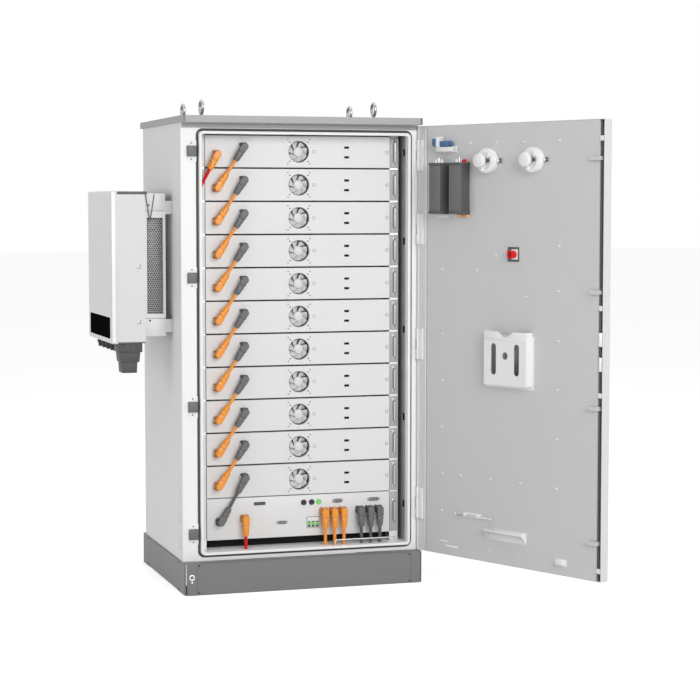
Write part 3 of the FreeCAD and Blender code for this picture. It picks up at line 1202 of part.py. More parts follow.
def door_fittings():
    """Document holder, smoke detectors, filters, stop switch, bar guides and small brackets."""
    def off_pins(distance):
        return pin_x - distance
    inner = door_y

    holder_x = (off_pins(holder_far), off_pins(holder_near))
    blank = box("holder_blank", holder_x, (inner, inner + holder_depth), (holder_low, holder_high))
    inside = box("holder_inside", (holder_x[0] + metal, holder_x[1] - metal),
                 (inner + metal, inner + holder_depth - metal),
                 (holder_low + metal, holder_high))
    middle = (holder_x[0] + holder_x[1]) / 2
    front_sheet = (inner + holder_depth - metal, inner + holder_depth)
    rim = holder_notch + notch_flare
    notch = tapered("holder_notch", (holder_high - notch_depth, holder_high),
                    (middle - holder_notch, middle + holder_notch), front_sheet, (middle - rim, middle + rim),
                    front_sheet)
    slots = [box("holder_slot_%d" % number, (x - holder_slot_width / 2, x + holder_slot_width / 2),
                 front_sheet,
                 (holder_low + holder_slot_low, holder_high - holder_slot_high))
             for number, x in enumerate((middle - holder_slot_x, middle + holder_slot_x))]
    slots.append(rod("holder_hole", "Y", holder_hole, (middle, (holder_low + holder_high) / 2), front_sheet))
    door_node(cut("holder_shell", blank, [inside, notch] + slots), "document_holder")

    detectors = []
    for number, distance in enumerate((detector_one, detector_two)):
        x = off_pins(distance)
        base = rod("detector_base_%d" % number, "Y", detector_radius, (x, detector_z),
                   (inner, inner + detector_base))
        skirt_end = inner + detector_base + detector_head / 3
        skirt = stub("detector_skirt_%d" % number, detector_radius * 0.96, detector_radius * 0.66,
                     (x, detector_z),
                     (inner + detector_base, skirt_end))
        dome = stub("detector_dome_%d" % number, detector_radius * 0.62, detector_radius * 0.5,
                    (x, detector_z),
                    (skirt_end, inner + detector_base + detector_head))
        plug_out = box("detector_plug_%d" % number, (x - detector_radius * 1.2, x - detector_radius * 0.8),
                       (inner, inner + detector_base * 0.7),
                       (detector_z - socket_radius / 2, detector_z + socket_radius / 2))
        detectors.append(fused("detector_%d" % number, [base, skirt, dome, plug_out]))
    node(swung(grouped("detector_set", detectors)), "smoke_detectors")

    modules = []
    for number, distance in enumerate((filter_one, filter_two)):
        x = (off_pins(distance) - filter_width, off_pins(distance))
        body = box("filter_body_%d" % number, x, (inner, inner + filter_depth),
                   (filter_low + plate * 3, filter_high - plate * 3))
        ends = [box("filter_end_%d_%s" % (number, word), (x[0] - plate, x[1] + plate),
                    (inner, inner + filter_depth + plate), z)
                for word, z in (("low", (filter_low, filter_low + plate * 3)),
                                ("high", (filter_high - plate * 3, filter_high)))]
        studs = [rod("filter_stud_%d_%d" % (number, place_at), "Z", terminal_radius,
                     (x[0] + filter_width * (place_at + 0.5) / 2, inner + filter_depth / 2),
                     (filter_high, filter_high + terminal_radius * 2)) for place_at in range(2)]
        tab = box("filter_tab_%d" % number, (x[0] + plate * 3, x[1] - plate * 3),
                  (inner + filter_depth / 4, inner + filter_depth * 0.6),
                  (filter_low - terminal_radius * 2, filter_low))
        modules.append(fused("filter_%d" % number, [body, tab] + ends + studs))
    node(swung(grouped("filter_set", modules)), "filter_modules")

    plate_half = stop_frame / 2
    housing = box("stop_plate", (stop_x - plate_half, stop_x + plate_half), (inner, inner + plate),
                  (stop_z - plate_half, stop_z + plate_half))
    contact = box("stop_contact", (stop_x - stop_neck, stop_x + stop_neck),
                  (inner + plate, inner + stop_depth),
                  (stop_z - stop_neck, stop_z + stop_neck))
    collar = rod("stop_collar", "Y", stop_neck, (stop_x, stop_z), (front - plate, inner + plate))
    rim = rod("stop_rim", "Y", stop_neck * 1.6, (stop_x, stop_z), (front - plate, front))
    bore = rod("stop_bore", "Y", stop_stem + pin_clearance, (stop_x, stop_z), (front - plate, inner))
    door_node(cut("stop_housing", fused("stop_solid", [housing, contact, collar, rim]), [bore]),
              "stop_switch_body")
    cap_y = (front - plate - stop_travel - stop_cap, front - plate - stop_travel)
    cap = rod("stop_cap", "Y", stop_neck * 1.5, (stop_x, stop_z), cap_y)
    stem = rod("stop_stem", "Y", stop_stem, (stop_x, stop_z), (cap_y[0], inner - stop_travel - flush_gap))
    door_node(fused("stop_button_solid", [cap, stem]), "stop_button")

    brackets = []
    bar_y = (cam_y + cam_thick, cam_y + cam_thick + bar_thick)
    for number, height in enumerate(guide_heights()):
        x = (door_left + metal, channel_x)
        block = box("guide_block_%d" % number, x, (front + metal, door_y),
                    (height - bar_width / 2, height + bar_width / 2))
        gap = box("guide_gap_%d" % number, (x[0] + plate - flush_gap, x[0] + plate + bar_width + flush_gap),
                  (bar_y[0], bar_y[1] + flush_gap * 2), (height - bar_width / 2, height + bar_width / 2))
        brackets.append(cut("guide_%d" % number, block, [gap]))
    hood_x = (off_pins(hood_near) - hood_width, off_pins(hood_near))
    hood_z = (door_low + hood_low, door_low + hood_low + hood_height)
    hood = [box("hood_plate", hood_x, (inner, inner + plate), hood_z),
            box("hood_shelf", hood_x, (inner, inner + hood_depth), (hood_z[1] - plate, hood_z[1]))]
    for word, x in (("near", (hood_x[1] - metal, hood_x[1])), ("far", (hood_x[0], hood_x[0] + metal))):
        hood.append(tapered("hood_gusset_" + word, hood_z, x, (inner, inner + plate), x,
                            (inner, inner + hood_depth)))
    brackets.append(fused("hood", hood))
    switch_z = door_high - switch_drop
    switch_x = (off_pins(switch_near) - switch_width, off_pins(switch_near))
    brackets.append(box("switch_bracket", (switch_x[0] - plate * 5, switch_x[1] + plate * 3),
                        (inner, inner + switch_depth),
                        (switch_z - plate, switch_z)))
    brackets.append(box("door_switch", switch_x, (inner, inner + switch_depth),
                        (switch_z, switch_z + switch_height)))
    catch_x = (door_left + catch_edge, door_left + catch_edge + catch_width)
    catch_z = (door_low + catch_low, door_low + catch_low + catch_height)
    brackets.append(box("stay_catch", catch_x, (inner, inner + handle_lift), catch_z))
    rod_x = (off_pins(rod_near) - rod_length, off_pins(rod_near))
    rod_z = (door_low + rod_low, door_low + rod_low + rod_height)
    brackets.append(box("rod_bracket", rod_x, (inner, inner + rod_depth), rod_z))
    brackets.append(rod("rod_bar", "X", rod_height / 5,
                        (inner + rod_depth + rod_height / 5, (rod_z[0] + rod_z[1]) / 2),
                        (rod_x[0] - rod_length * 0.6, rod_x[1] + rod_length * 0.4)))
    node(swung(grouped("door_bracket_set", brackets)), "door_brackets")


def guide_heights():
    """Heights of the lock bar guides."""
    return [door_low + guide_low, keeper_heights[1] + guide_above, keeper_heights[2] - guide_below,
            door_high - guide_high]


guide_low = size("guide_low", 43, "lowest bar guide above the door's lower edge")
guide_above = size("guide_above", 92, "second bar guide above its keeper")
guide_below = size("guide_below", 103, "third bar guide below its keeper")
guide_high = size("guide_high", 75, "highest bar guide below the door's upper edge")
holder_near = size("holder_near", 432, "document holder from the hinge pins")
holder_far = size("holder_far", 668, "document holder's far edge")
holder_height = size("holder_height", 222, "document holder height")
holder_rim = size("holder_rim", 12, "document holder's rim above the spindle")
holder_depth = size("holder_depth", 38, "document holder depth")
holder_notch = size("holder_notch", 34, "half width of the notch's floor")
notch_depth = size("notch_depth", 24, "notch below the holder's rim")
notch_flare = size("notch_flare", 28, "notch wider at the rim, each side")
holder_slot_x = size("holder_slot_x", 64.5, "holder's slots from its middle")
holder_slot_width = size("holder_slot_width", 13, "holder's slot width")
holder_slot_low = size("holder_slot_low", 43, "holder's slots above its base")
holder_slot_high = size("holder_slot_high", 49, "holder's slots below its rim")
holder_hole = size("holder_hole", 5, "round hole in the holder")
holder_high = lock_height + holder_rim
holder_low = holder_high - holder_height
detector_one = size("detector_one", 420, "first smoke detector from the hinge pins")
detector_two = size("detector_two", 676, "second smoke detector")
detector_drop = size("detector_drop", 154, "smoke detectors below the door's upper edge")
detector_z = door_high - detector_drop
detector_radius = size("detector_radius", 52, "smoke detector radius")
detector_base = size("detector_base", 18, "smoke detector base")
detector_head = size("detector_head", 28, "smoke detector head")
filter_one = size("filter_one", 118, "first filter from the hinge pins")
filter_two = size("filter_two", 240, "second filter")
filter_width = size("filter_width", 68, "filter width")
filter_depth = size("filter_depth", 50, "filter depth")
filter_height = size("filter_height", 215, "filter height")
filter_drop = size("filter_drop", 159, "filters below the door's upper edge")
filter_high = door_high - filter_drop
filter_low = filter_high - filter_height
terminal_radius = size("terminal_radius", 7, "filter terminal")
hood_near = size("hood_near", 427, "hood from the hinge pins")
hood_width = size("hood_width", 212, "hood width")
hood_low = size("hood_low", 108, "hood above the door's lower edge")
hood_height = size("hood_height", 41, "hood height")
hood_depth = size("hood_depth", 32, "hood depth")
switch_near = size("switch_near", 110, "door switch from the hinge pins")
switch_width = size("switch_width", 105, "door switch width")
switch_drop = size("switch_drop", 114, "door switch's base below the door's upper edge")
switch_height = size("switch_height", 31, "door switch height")
switch_depth = size("switch_depth", 24, "door switch depth")
catch_edge = size("catch_edge", 179.5, "stay catch from the door's free edge")
catch_width = size("catch_width", 57, "stay catch width")
catch_low = size("catch_low", 41, "stay catch above the door's lower edge")
catch_height = size("catch_height", 26, "stay catch height")
rod_near = size("rod_near", 281, "rod bracket from the hinge pins")
rod_length = size("rod_length", 104, "rod bracket width")
rod_low = size("rod_low", 176, "rod bracket above the door's lower edge")
rod_height = size("rod_height", 20, "rod bracket height")
rod_depth = size("rod_depth", 10, "rod bracket depth")
stop_frame = size("stop_frame", 60, "stop switch back plate")
stop_depth = size("stop_depth", 42, "stop switch behind the door sheet")
stop_stem = size("stop_stem", 5, "stop button stem radius")
stop_travel = size("stop_travel", 4, "stop button travel")
stop_cap = size("stop_cap", 14, "stop button cap")


def door_stay():
    """The bent wire stay lying on the sill, pivoted at its right end."""
    radius = value_of(stay_radius)
    low = value_of(opening_low)
    rise = value_of(stay_rise)
    y = value_of(frame_y) - value_of(lip_rise) + value_of(lip_width) / 2
    pivot = way_right - stay_edge
    start = Vector(value_of(pivot - stay_length), y, low + radius)
    points = [start, start + Vector(0, 0, rise), Vector(value_of(pivot), y, start.z + rise),
              Vector(value_of(pivot), y, start.z)]
    edges, last, bend = [], points[0], radius * 3
    for before, corner, after in zip(points, points[1:], points[2:]):
        inward, outward = (before - corner).normalize(), (after - corner).normalize()
        begin, end = corner + inward * bend, corner + outward * bend
        middle = corner + (inward + outward).normalize() * (bend * math.sqrt(2) - bend)
        edges.append(Part.LineSegment(last, begin).toShape())
        edges.append(Part.Arc(begin, middle, end).toShape())
        last = end
    edges.append(Part.LineSegment(last, points[-1]).toShape())
    ring = Part.Wire([Part.makeCircle(radius, points[0], Vector(0, 0, 1))])
    wire = doc.addObject("Part::Feature", "stay_wire")
    wire.Shape = Part.Wire(edges).makePipeShell([ring], True, False)
    foot = rod("stay_foot", "Z", stay_radius * 2, (pivot, frame_y - lip_rise + lip_width / 2),
               (opening_low, opening_low + stay_radius * 1.5))
    node(fused("stay_solid", [wire, foot]), "door_stay")


stay_radius = size("stay_radius", 3, "stay wire")
stay_rise = size("stay_rise", 22, "stay wire above the sill")
stay_length = size("stay_length", 273, "stay from its free end to its pivot")
stay_edge = size("stay_edge", 53, "stay's pivot from the doorway's right edge")


# Inverter on the left wall

def inverter():
    """Bracket, ventilated rear section, chassis, front cover and cable box."""
    far = rear_y - inverter_rear_gap
    near = far - inverter_width
    high = cabinet_height - inverter_drop
    low = high - inverter_height
    bracket_x = (wall_left - inverter_bracket_reach, wall_left)
    guard_x = (bracket_x[0] - inverter_guard_depth, bracket_x[0])
    chassis_x = (guard_x[0] - inverter_chassis_depth, guard_x[0])
    cover_x = (chassis_x[0] - inverter_cover_depth, chassis_x[0])

    rails = []
    for word, z in (("upper", (high - rail_height * 2.4, high - rail_height)),
                    ("lower", (low + rail_height * 1.1, low + rail_height * 2.5))):
        rails.append(box("rail_" + word, (wall_left - plate, wall_left),
                         (near - rail_height / 4, far + rail_height / 4), z))
        for side, y in (("near", (near + rail_height / 4, near + rail_height / 4 + plate)),
                        ("far", (far - rail_height / 4 - plate, far - rail_height / 4))):
            rails.append(box("ear_%s_%s" % (word, side), bracket_x, y, z))
    node(grouped("rail_set", [fused("rail_pair_upper", rails[:3]), fused("rail_pair_lower", rails[3:])]),
         "inverter_bracket")

    inset = metal * 4
    guard_y, gz = (near + inset, far - inset), (low + rail_height * 0.7, high - inset)
    blank = box("guard_blank", guard_x, guard_y, gz)
    hollow = box("guard_hollow", (guard_x[0], guard_x[1] - metal), (guard_y[0] + metal, guard_y[1] - metal),
                 (gz[0] + metal, gz[1] - metal))
    mesh_x = (guard_x[0] + mesh_margin, guard_x[1] - mesh_margin)
    step = (mesh_x[1] - mesh_x[0]) / MESH_COLUMNS
    tall = (gz[1] - gz[0] - mesh_end * 2) / MESH_ROWS
    vents = []
    for column in range(MESH_COLUMNS):
        for row in range(MESH_ROWS):
            spot_x, spot_z = mesh_x[0] + step * column, gz[0] + mesh_end + tall * row
            vents.append(box("vent_%d_%d" % (column, row), (spot_x + metal, spot_x + step - metal), guard_y,
                             (spot_z + metal, spot_z + tall - metal)))
    node(cut("guard_shell", blank, [hollow, grouped("vent_set", vents)]), "inverter_guard")

    chassis = new_body("chassis_body")
    feature(chassis, "Pad", "chassis_block", "X", (near, far), (low, high), chassis_x, doorway_radius)
    fins = []
    for number in range(FINS):
        middle = near + inverter_width * (number + 1) / (FINS + 1)
        fins.append(box("fin_%02d" % number, (chassis_x[1], chassis_x[1] + fin_reach),
                        (middle - metal, middle + metal),
                        (gz[0] + inset, gz[1] - inset)))
    node(fused("chassis_solid", [chassis] + fins), "inverter_chassis")

    cover = new_body("cover_body")
    feature(cover, "Pad", "cover_block", "X", (near - metal, far + metal), (low - metal, high + metal),
            cover_x,
            cover_radius)
    doc.recompute()
    block = cover.Tip
    rim = ["Edge%d" % number for number, edge in enumerate(block.Shape.Edges, 1)
           if edge.BoundBox.XMax - value_of(cover_x[0]) < 0.01]
    soft = cover.newObject("PartDesign::Fillet", "cover_round")
    soft.Base = (block, rim)
    bind(soft, "Radius", cover_round)
    node(cover, "inverter_cover")

    pieces = [box("gland_plate", (chassis_x[0] + inset, chassis_x[1] - inset),
                  (near + inset * 3, far - inset * 3),
                  (low - metal * 2, low))]
    gland_pitch = (inverter_width - inset - box_width - gland_margin) / GLANDS
    for number in range(GLANDS):
        y = near + inset + box_width + gland_pitch * (number + 1)
        pieces.append(rod("inverter_gland_%d" % number, "Z", gland_radius * 1.2,
                          ((chassis_x[0] + chassis_x[1]) / 2, y),
                          (low - gland_drop, low - metal)))
    box_x, box_y = (chassis_x[0] + inset, chassis_x[1] - inset * 1.5), (near + inset,
                                                                        near + inset + box_width)
    start = low
    for number, depth in enumerate((gland_drop, box_drop_one, box_drop_two)):
        upper, lower = box_shrink * number, box_shrink * number + (plate if number else 0)
        narrow_x = (box_x[0] + upper + lower, box_x[1] - upper - lower)
        narrow_y = (box_y[0] + lower, box_y[1] - lower)
        wide_x, wide_y = (box_x[0] + upper * 2, box_x[1] - upper * 2), (box_y[0] + upper, box_y[1] - upper)
        pieces.append(tapered("cable_box_%d" % number, (low - depth, start), narrow_x, narrow_y, wide_x,
                              wide_y))
        start = low - depth
    node(fused("cable_box", pieces), "inverter_cable_box")


rail_height = size("rail_height", 40, "wall rail")
MESH_COLUMNS = 5
MESH_ROWS = 18
FINS = 12
GLANDS = 6
mesh_margin = size("mesh_margin", 9, "plain margin beside the vents")
mesh_end = size("mesh_end", 92, "plain band above and below the vents")
fin_reach = size("fin_reach", 70, "cooling fin behind the chassis")
gland_margin = size("gland_margin", 74, "last gland from the inverter's far side")
box_shrink = size("box_shrink", 3, "each tier of the cable box narrower, each side")
cover_radius = size("cover_radius", 14, "corner of the front cover")
cover_round = size("cover_round", 9, "rounding of the front cover's rim")
gland_drop = size("gland_drop", 38, "gland below the inverter")
box_width = size("box_width", 110, "cable box width")
box_drop_one = size("box_drop_one", 82, "cable box's middle tier")
box_drop_two = size("box_drop_two", 128, "cable box's lowest tier")

plinth()
front_frame()
shell()
lifting_eyes()
rack()
for index in range(PACKS):
    battery_pack(index)
    fan_rotor(index)
pack_insides()
pack_handles()
power_leads()
control_box()
door_panels()
hinges()
lock()
door_fittings()
door_stay()
inverter()
doc.recompute()


def check_document():
    """Stops if any object failed, if a pocket cut nothing, or if a piece has no sound shape."""
    faults = []
    for thing in doc.Objects:
        if "Invalid" in thing.State or "Error" in thing.State:
            faults.append("%s %s" % (thing.Name, thing.State))
        if thing.TypeId == "PartDesign::Pocket" and thing.BaseFeature is not None:
            if thing.Shape.Volume > thing.BaseFeature.Shape.Volume - 0.01:
                faults.append("%s cuts nothing" % thing.Name)
    for thing in nodes:
        if thing.Shape.isNull() or not thing.Shape.isValid() or not thing.Shape.Solids:
            faults.append("%s has no sound shape" % thing.Label)
    return faults


problems = check_document()
if problems:
    print("\n".join(problems))
    sys.exit(1)

os.makedirs("parts", exist_ok=True)
for piece in nodes:
    piece.Shape.exportStep("parts/%s.step" % piece.Label)
print(len(nodes), "nodes", sum(len(piece.Shape.Solids) for piece in nodes), "solids")
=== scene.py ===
"""The looks of a battery energy storage unit: a steel cabinet with its door open, packs, leads and inverter.

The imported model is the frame. Its nodes keep their shapes and get finishes, and finer pieces are added or
take their place. Sizes are millimetres from the plinth's left, front, lower corner, as on the drawing, and
are turned into the frame's metres by the Drawing class.
"""

from __future__ import annotations

import json
import logging
import math
from dataclasses import dataclass, field
from enum import Enum
from contextlib import contextmanager
from typing import Iterator, Sequence

import bmesh
import bpy
from mathutils import Matrix, Vector

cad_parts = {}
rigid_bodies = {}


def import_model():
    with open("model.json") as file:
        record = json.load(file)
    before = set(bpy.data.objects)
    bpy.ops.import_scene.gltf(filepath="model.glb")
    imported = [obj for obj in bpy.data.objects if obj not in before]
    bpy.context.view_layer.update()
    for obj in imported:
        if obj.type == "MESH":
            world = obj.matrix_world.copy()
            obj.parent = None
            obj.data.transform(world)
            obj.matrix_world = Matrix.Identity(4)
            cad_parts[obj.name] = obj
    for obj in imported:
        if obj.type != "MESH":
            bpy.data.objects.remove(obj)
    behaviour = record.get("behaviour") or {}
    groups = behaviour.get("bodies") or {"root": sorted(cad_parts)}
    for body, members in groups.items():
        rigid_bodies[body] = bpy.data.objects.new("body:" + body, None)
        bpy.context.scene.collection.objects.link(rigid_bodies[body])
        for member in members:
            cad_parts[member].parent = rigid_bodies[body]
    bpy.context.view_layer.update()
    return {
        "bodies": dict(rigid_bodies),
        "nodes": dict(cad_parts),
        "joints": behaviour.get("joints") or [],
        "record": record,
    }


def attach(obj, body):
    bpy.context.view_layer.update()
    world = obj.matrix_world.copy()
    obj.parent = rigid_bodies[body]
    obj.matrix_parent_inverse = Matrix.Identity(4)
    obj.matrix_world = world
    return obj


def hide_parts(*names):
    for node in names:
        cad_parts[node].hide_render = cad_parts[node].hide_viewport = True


log = logging.getLogger("storage_unit")
Point = Sequence[float]
Span = tuple[float, float]

MM = 0.001  # one millimetre in the frame's metres
MERGE = 0.0005  # points of a turned piece this close are one
NODE_MERGE = 0.01  # points of a frame node this close are one
NODE_EDGE = 0.6  # the frame nodes' softened edges
EDGE_STEPS = 2  # faces round a softened edge
SHARP = 0.6  # edges that turn more than this, in radians, are softened
EASED = math.radians(40)  # the same for the frame's nodes
SMOOTH = math.radians(35)  # faces that turn less than this are shaded as one
SEAT = 0.2  # how far a piece on the door sinks into the inner sheet
SKIN = 0.05  # how far a plate stays off the face that it lies on


class Axis(Enum):
    """The axes that a round piece can stand along."""

    X = 0
    Y = 1
    Z = 2


@dataclass
class Drawing:
    """Turns drawing millimetres into the frame's metres.

    Attributes:
        width: plinth width, whose half lies left of the frame's origin.
        depth: plinth depth, whose half lies before the frame's origin.
        pin_x: hinge pins from the plinth's left side.
        pin_y: hinge pins behind the plinth's front.
        swing: the door's opening in the stored pose, in degrees.
    """

    width: float = 1052.0
    depth: float = 866.0
    pin_x: float = 1043.0
    pin_y: float = 43.0
    swing: float = 114.6

    def cabinet(self) -> Matrix:
        """Gives the matrix from drawing millimetres to the frame."""
        return Matrix.Scale(MM, 4) @ Matrix.Translation((-self.width / 2, -self.depth / 2, 0))

    def door(self) -> Matrix:
        """Gives the matrix for the door, which is drawn from its pins.

        X is the distance from the pins, Y the height off the inner sheet and Z the height off the floor.

        Returns:
            The matrix.
        """
        pin = Matrix.Translation((self.pin_x, self.pin_y, 0))
        turned = Matrix.Rotation(math.radians(self.swing), 4, "Z")
        return self.cabinet() @ pin @ turned @ Matrix.Scale(-1, 4, (1, 0, 0))


class Nodes:
    """Builds shader nodes inside a material or a group with few words.

    Attributes:
        tree: the node tree that is being filled.
    """

    def __init__(self, tree: bpy.types.NodeTree) -> None:
        """Starts on an empty tree.

        Args:
            tree: the node tree to fill.
        """
        self.tree = tree
        self.count = 0

    def add(self, kind: str, inputs: dict[str | int, object] | None = None,
            **settings: object) -> bpy.types.Node:
        """Adds a node.

        Args:
            kind: the node's type name.
            inputs: values for its inputs, or sockets to link to them.
            **settings: the node's own settings.

        Returns:
            The new node.
        """
        node = self.tree.nodes.new(kind)
        self.count += 1
        node.location = (220 * (self.count % 8), -260 * (self.count // 8))
        for name, value in settings.items():
            setattr(node, name, value)
        for key, value in (inputs or {}).items():
            if isinstance(value, bpy.types.NodeSocket):
                self.tree.links.new(value, node.inputs[key])
            else:
                node.inputs[key].default_value = value
        return node

    def math(self, operation: str, *values: object) -> bpy.types.NodeSocket:
        """Adds a math node and gives its result."""
        return self.add("ShaderNodeMath", dict(enumerate(values)), operation=operation).outputs[0]

    def ramp(self, factor: object, stops: Sequence[tuple[float, float]]) -> bpy.types.NodeSocket:
        """Adds a grey ramp.

        Args:
            factor: the socket that drives it.
            stops: place and grey value of each stop.

        Returns:
            The ramp's colour output.
        """
        node = self.add("ShaderNodeValToRGB", {0: factor})
        points = node.color_ramp.elements
        for index, (place, grey) in enumerate(stops):
            stop = points[index] if index < 2 else points.new(place)
            stop.position = place
            stop.color = (grey, grey, grey, 1)
        return node.outputs[0]

    def mix(self, factor: object, first: object, second: object) -> bpy.types.NodeSocket:
        """Mixes two colours and gives the result.

        Args:
            factor: the share of the second colour, or a socket.
            first: a colour or socket.
            second: a colour or socket.

        Returns:
            The mixed colour's socket.
        """
        node = self.add("ShaderNodeMix", data_type="RGBA")
        for index, value in ((0, factor), (6, first), (7, second)):
            if isinstance(value, bpy.types.NodeSocket):
                self.tree.links.new(value, node.inputs[index])
            else:
                node.inputs[index].default_value = value
        return node.outputs[2]

    def skin(self, given: bpy.types.Node, result: bpy.types.Node, gain: object, rough: object, height: object,
             distance: float) -> None:
        """Tints, roughens and embosses a group's surface.

        Args:
            given: the group's input node.
            result: the group's output node.
            gain: how bright the colour gets.
            rough: the roughness.
            height: the relief.
            distance: the relief's depth, in metres.
        """
        tint = self.add("ShaderNodeVectorMath", {0: given.outputs["Color"]}, operation="SCALE")
        self.tree.links.new(gain, tint.inputs["Scale"])
        bump = self.add("ShaderNodeBump",
                        {"Strength": given.outputs["Bump"], "Distance": distance, "Height": height})
        for name, socket in (("Color", tint.outputs[0]), ("Roughness", rough), ("Normal", bump.outputs[0])):
            self.tree.links.new(socket, result.inputs[name])


class Effects:
    """The shader node groups that several finishes share, each built once."""

    def __init__(self) -> None:
        """Builds every group."""
        self.grain = self.make_grain()
        self.brushed = self.make_brushed()
        self.dust = self.make_dust()

    @staticmethod
    def start(name: str, inputs: dict[str, tuple[str, object]], outputs: dict[str, str]) -> tuple:
        """Makes an empty group with its sockets.

        Args:
            name: the group's name.
            inputs: socket type and default of each input.
            outputs: socket type of each output.

        Returns:
            The group, its node helper, its input node and its output node.
        """
        group = bpy.data.node_groups.new(name, "ShaderNodeTree")
        for label, (kind, default) in inputs.items():
            socket = group.interface.new_socket(label, in_out="INPUT", socket_type="NodeSocket" + kind)
            socket.default_value = default
        for label, kind in outputs.items():
            group.interface.new_socket(label, in_out="OUTPUT", socket_type="NodeSocket" + kind)
        nodes = Nodes(group)
        return group, nodes, nodes.add("NodeGroupInput"), nodes.add("NodeGroupOutput")

    def make_grain(self) -> bpy.types.NodeTree:
        """Builds the fine speckled skin of powder coat and of moulded plastic.

        Returns:
            The group's node tree.
        """
        group, nodes, given, result = self.start(
            "surface_grain",
            {"Color": ("Color", (0.8, 0.8, 0.8, 1)), "Scale": ("Float", 900.0), "Speckle": ("Float", 0.05),
             "Mottle": ("Float", 0.03), "Roughness": ("Float", 0.5), "Bump": ("Float", 0.1)},
            {"Color": "Color", "Roughness": "Float", "Normal": "Vector"})
        place = nodes.add("ShaderNodeTexCoord").outputs["Object"]
        fine = nodes.add("ShaderNodeTexNoise",
                         {"Vector": place, "Scale": given.outputs["Scale"], "Detail": 2.0})
        wide = nodes.add("ShaderNodeTexNoise", {"Vector": place, "Scale": 2.3, "Detail": 3.0})
        spot = nodes.math("MULTIPLY", nodes.math("SUBTRACT", fine.outputs[0], 0.5), given.outputs["Speckle"])
        cloud = nodes.math("MULTIPLY", nodes.math("SUBTRACT", wide.outputs[0], 0.5), given.outputs["Mottle"])
        gain = nodes.math("ADD", nodes.math("ADD", spot, cloud), 1.0)
        rough = nodes.math("ADD", given.outputs["Roughness"], nodes.math("MULTIPLY", cloud, 2.0))
        nodes.skin(given, result, gain, rough, fine.outputs[0], 0.0004)
        return group

    def make_brushed(self) -> bpy.types.NodeTree:
        """Builds the drawn lines of bare and plated steel.

        Returns:
            The group's node tree.
        """
        group, nodes, given, result = self.start(
            "drawn_metal",
            {"Color": ("Color", (0.7, 0.7, 0.7, 1)), "Stretch": ("Vector", (40.0, 40.0, 4.0)),
             "Lines": ("Float", 0.2),
             "Roughness": ("Float", 0.35), "Bump": ("Float", 0.08)},
            {"Color": "Color", "Roughness": "Float", "Normal": "Vector"})
        place = nodes.add("ShaderNodeTexCoord").outputs["Object"]
        drawn = nodes.add("ShaderNodeVectorMath", {0: place, 1: given.outputs["Stretch"]},
                          operation="MULTIPLY")
        lines = nodes.add("ShaderNodeTexNoise", {"Vector": drawn.outputs[0], "Scale": 30.0, "Detail": 4.0})
        spread = nodes.math("SUBTRACT", lines.outputs[0], 0.5)
        gain = nodes.math("ADD", nodes.math("MULTIPLY", spread, given.outputs["Lines"]), 1.0)
        rough = nodes.math("ADD", given.outputs["Roughness"], nodes.math("MULTIPLY", spread, 0.15))
        nodes.skin(given, result, gain, rough, lines.outputs[0], 0.0003)
        return group

    def make_dust(self) -> bpy.types.NodeTree:
        """Builds the thin dust that settles on faces that look up.

        Returns:
            The group's node tree.
        """
        group, nodes, given, result = self.start(
            "settled_dust",
            {"Color": ("Color", (0.8, 0.8, 0.8, 1)), "Dust": ("Color", (0.5, 0.48, 0.45, 1)),
             "Amount": ("Float", 0.1)},
            {"Color": "Color"})
        face = nodes.add("ShaderNodeNewGeometry").outputs["Normal"]
        upward = nodes.add("ShaderNodeSeparateXYZ", {0: face}).outputs["Z"]
        place = nodes.add("ShaderNodeTexCoord").outputs["Object"]
        patch = nodes.add("ShaderNodeTexNoise", {"Vector": place, "Scale": 7.0, "Detail": 5.0})
        mask = nodes.math("MULTIPLY", nodes.ramp(upward, ((0.4, 0.0), (1.0, 1.0))), patch.outputs[0])
        amount = nodes.math("MULTIPLY", mask, given.outputs["Amount"])
        nodes.tree.links.new(nodes.mix(amount, given.outputs["Color"], given.outputs["Dust"]),
                             result.inputs["Color"])
        return group


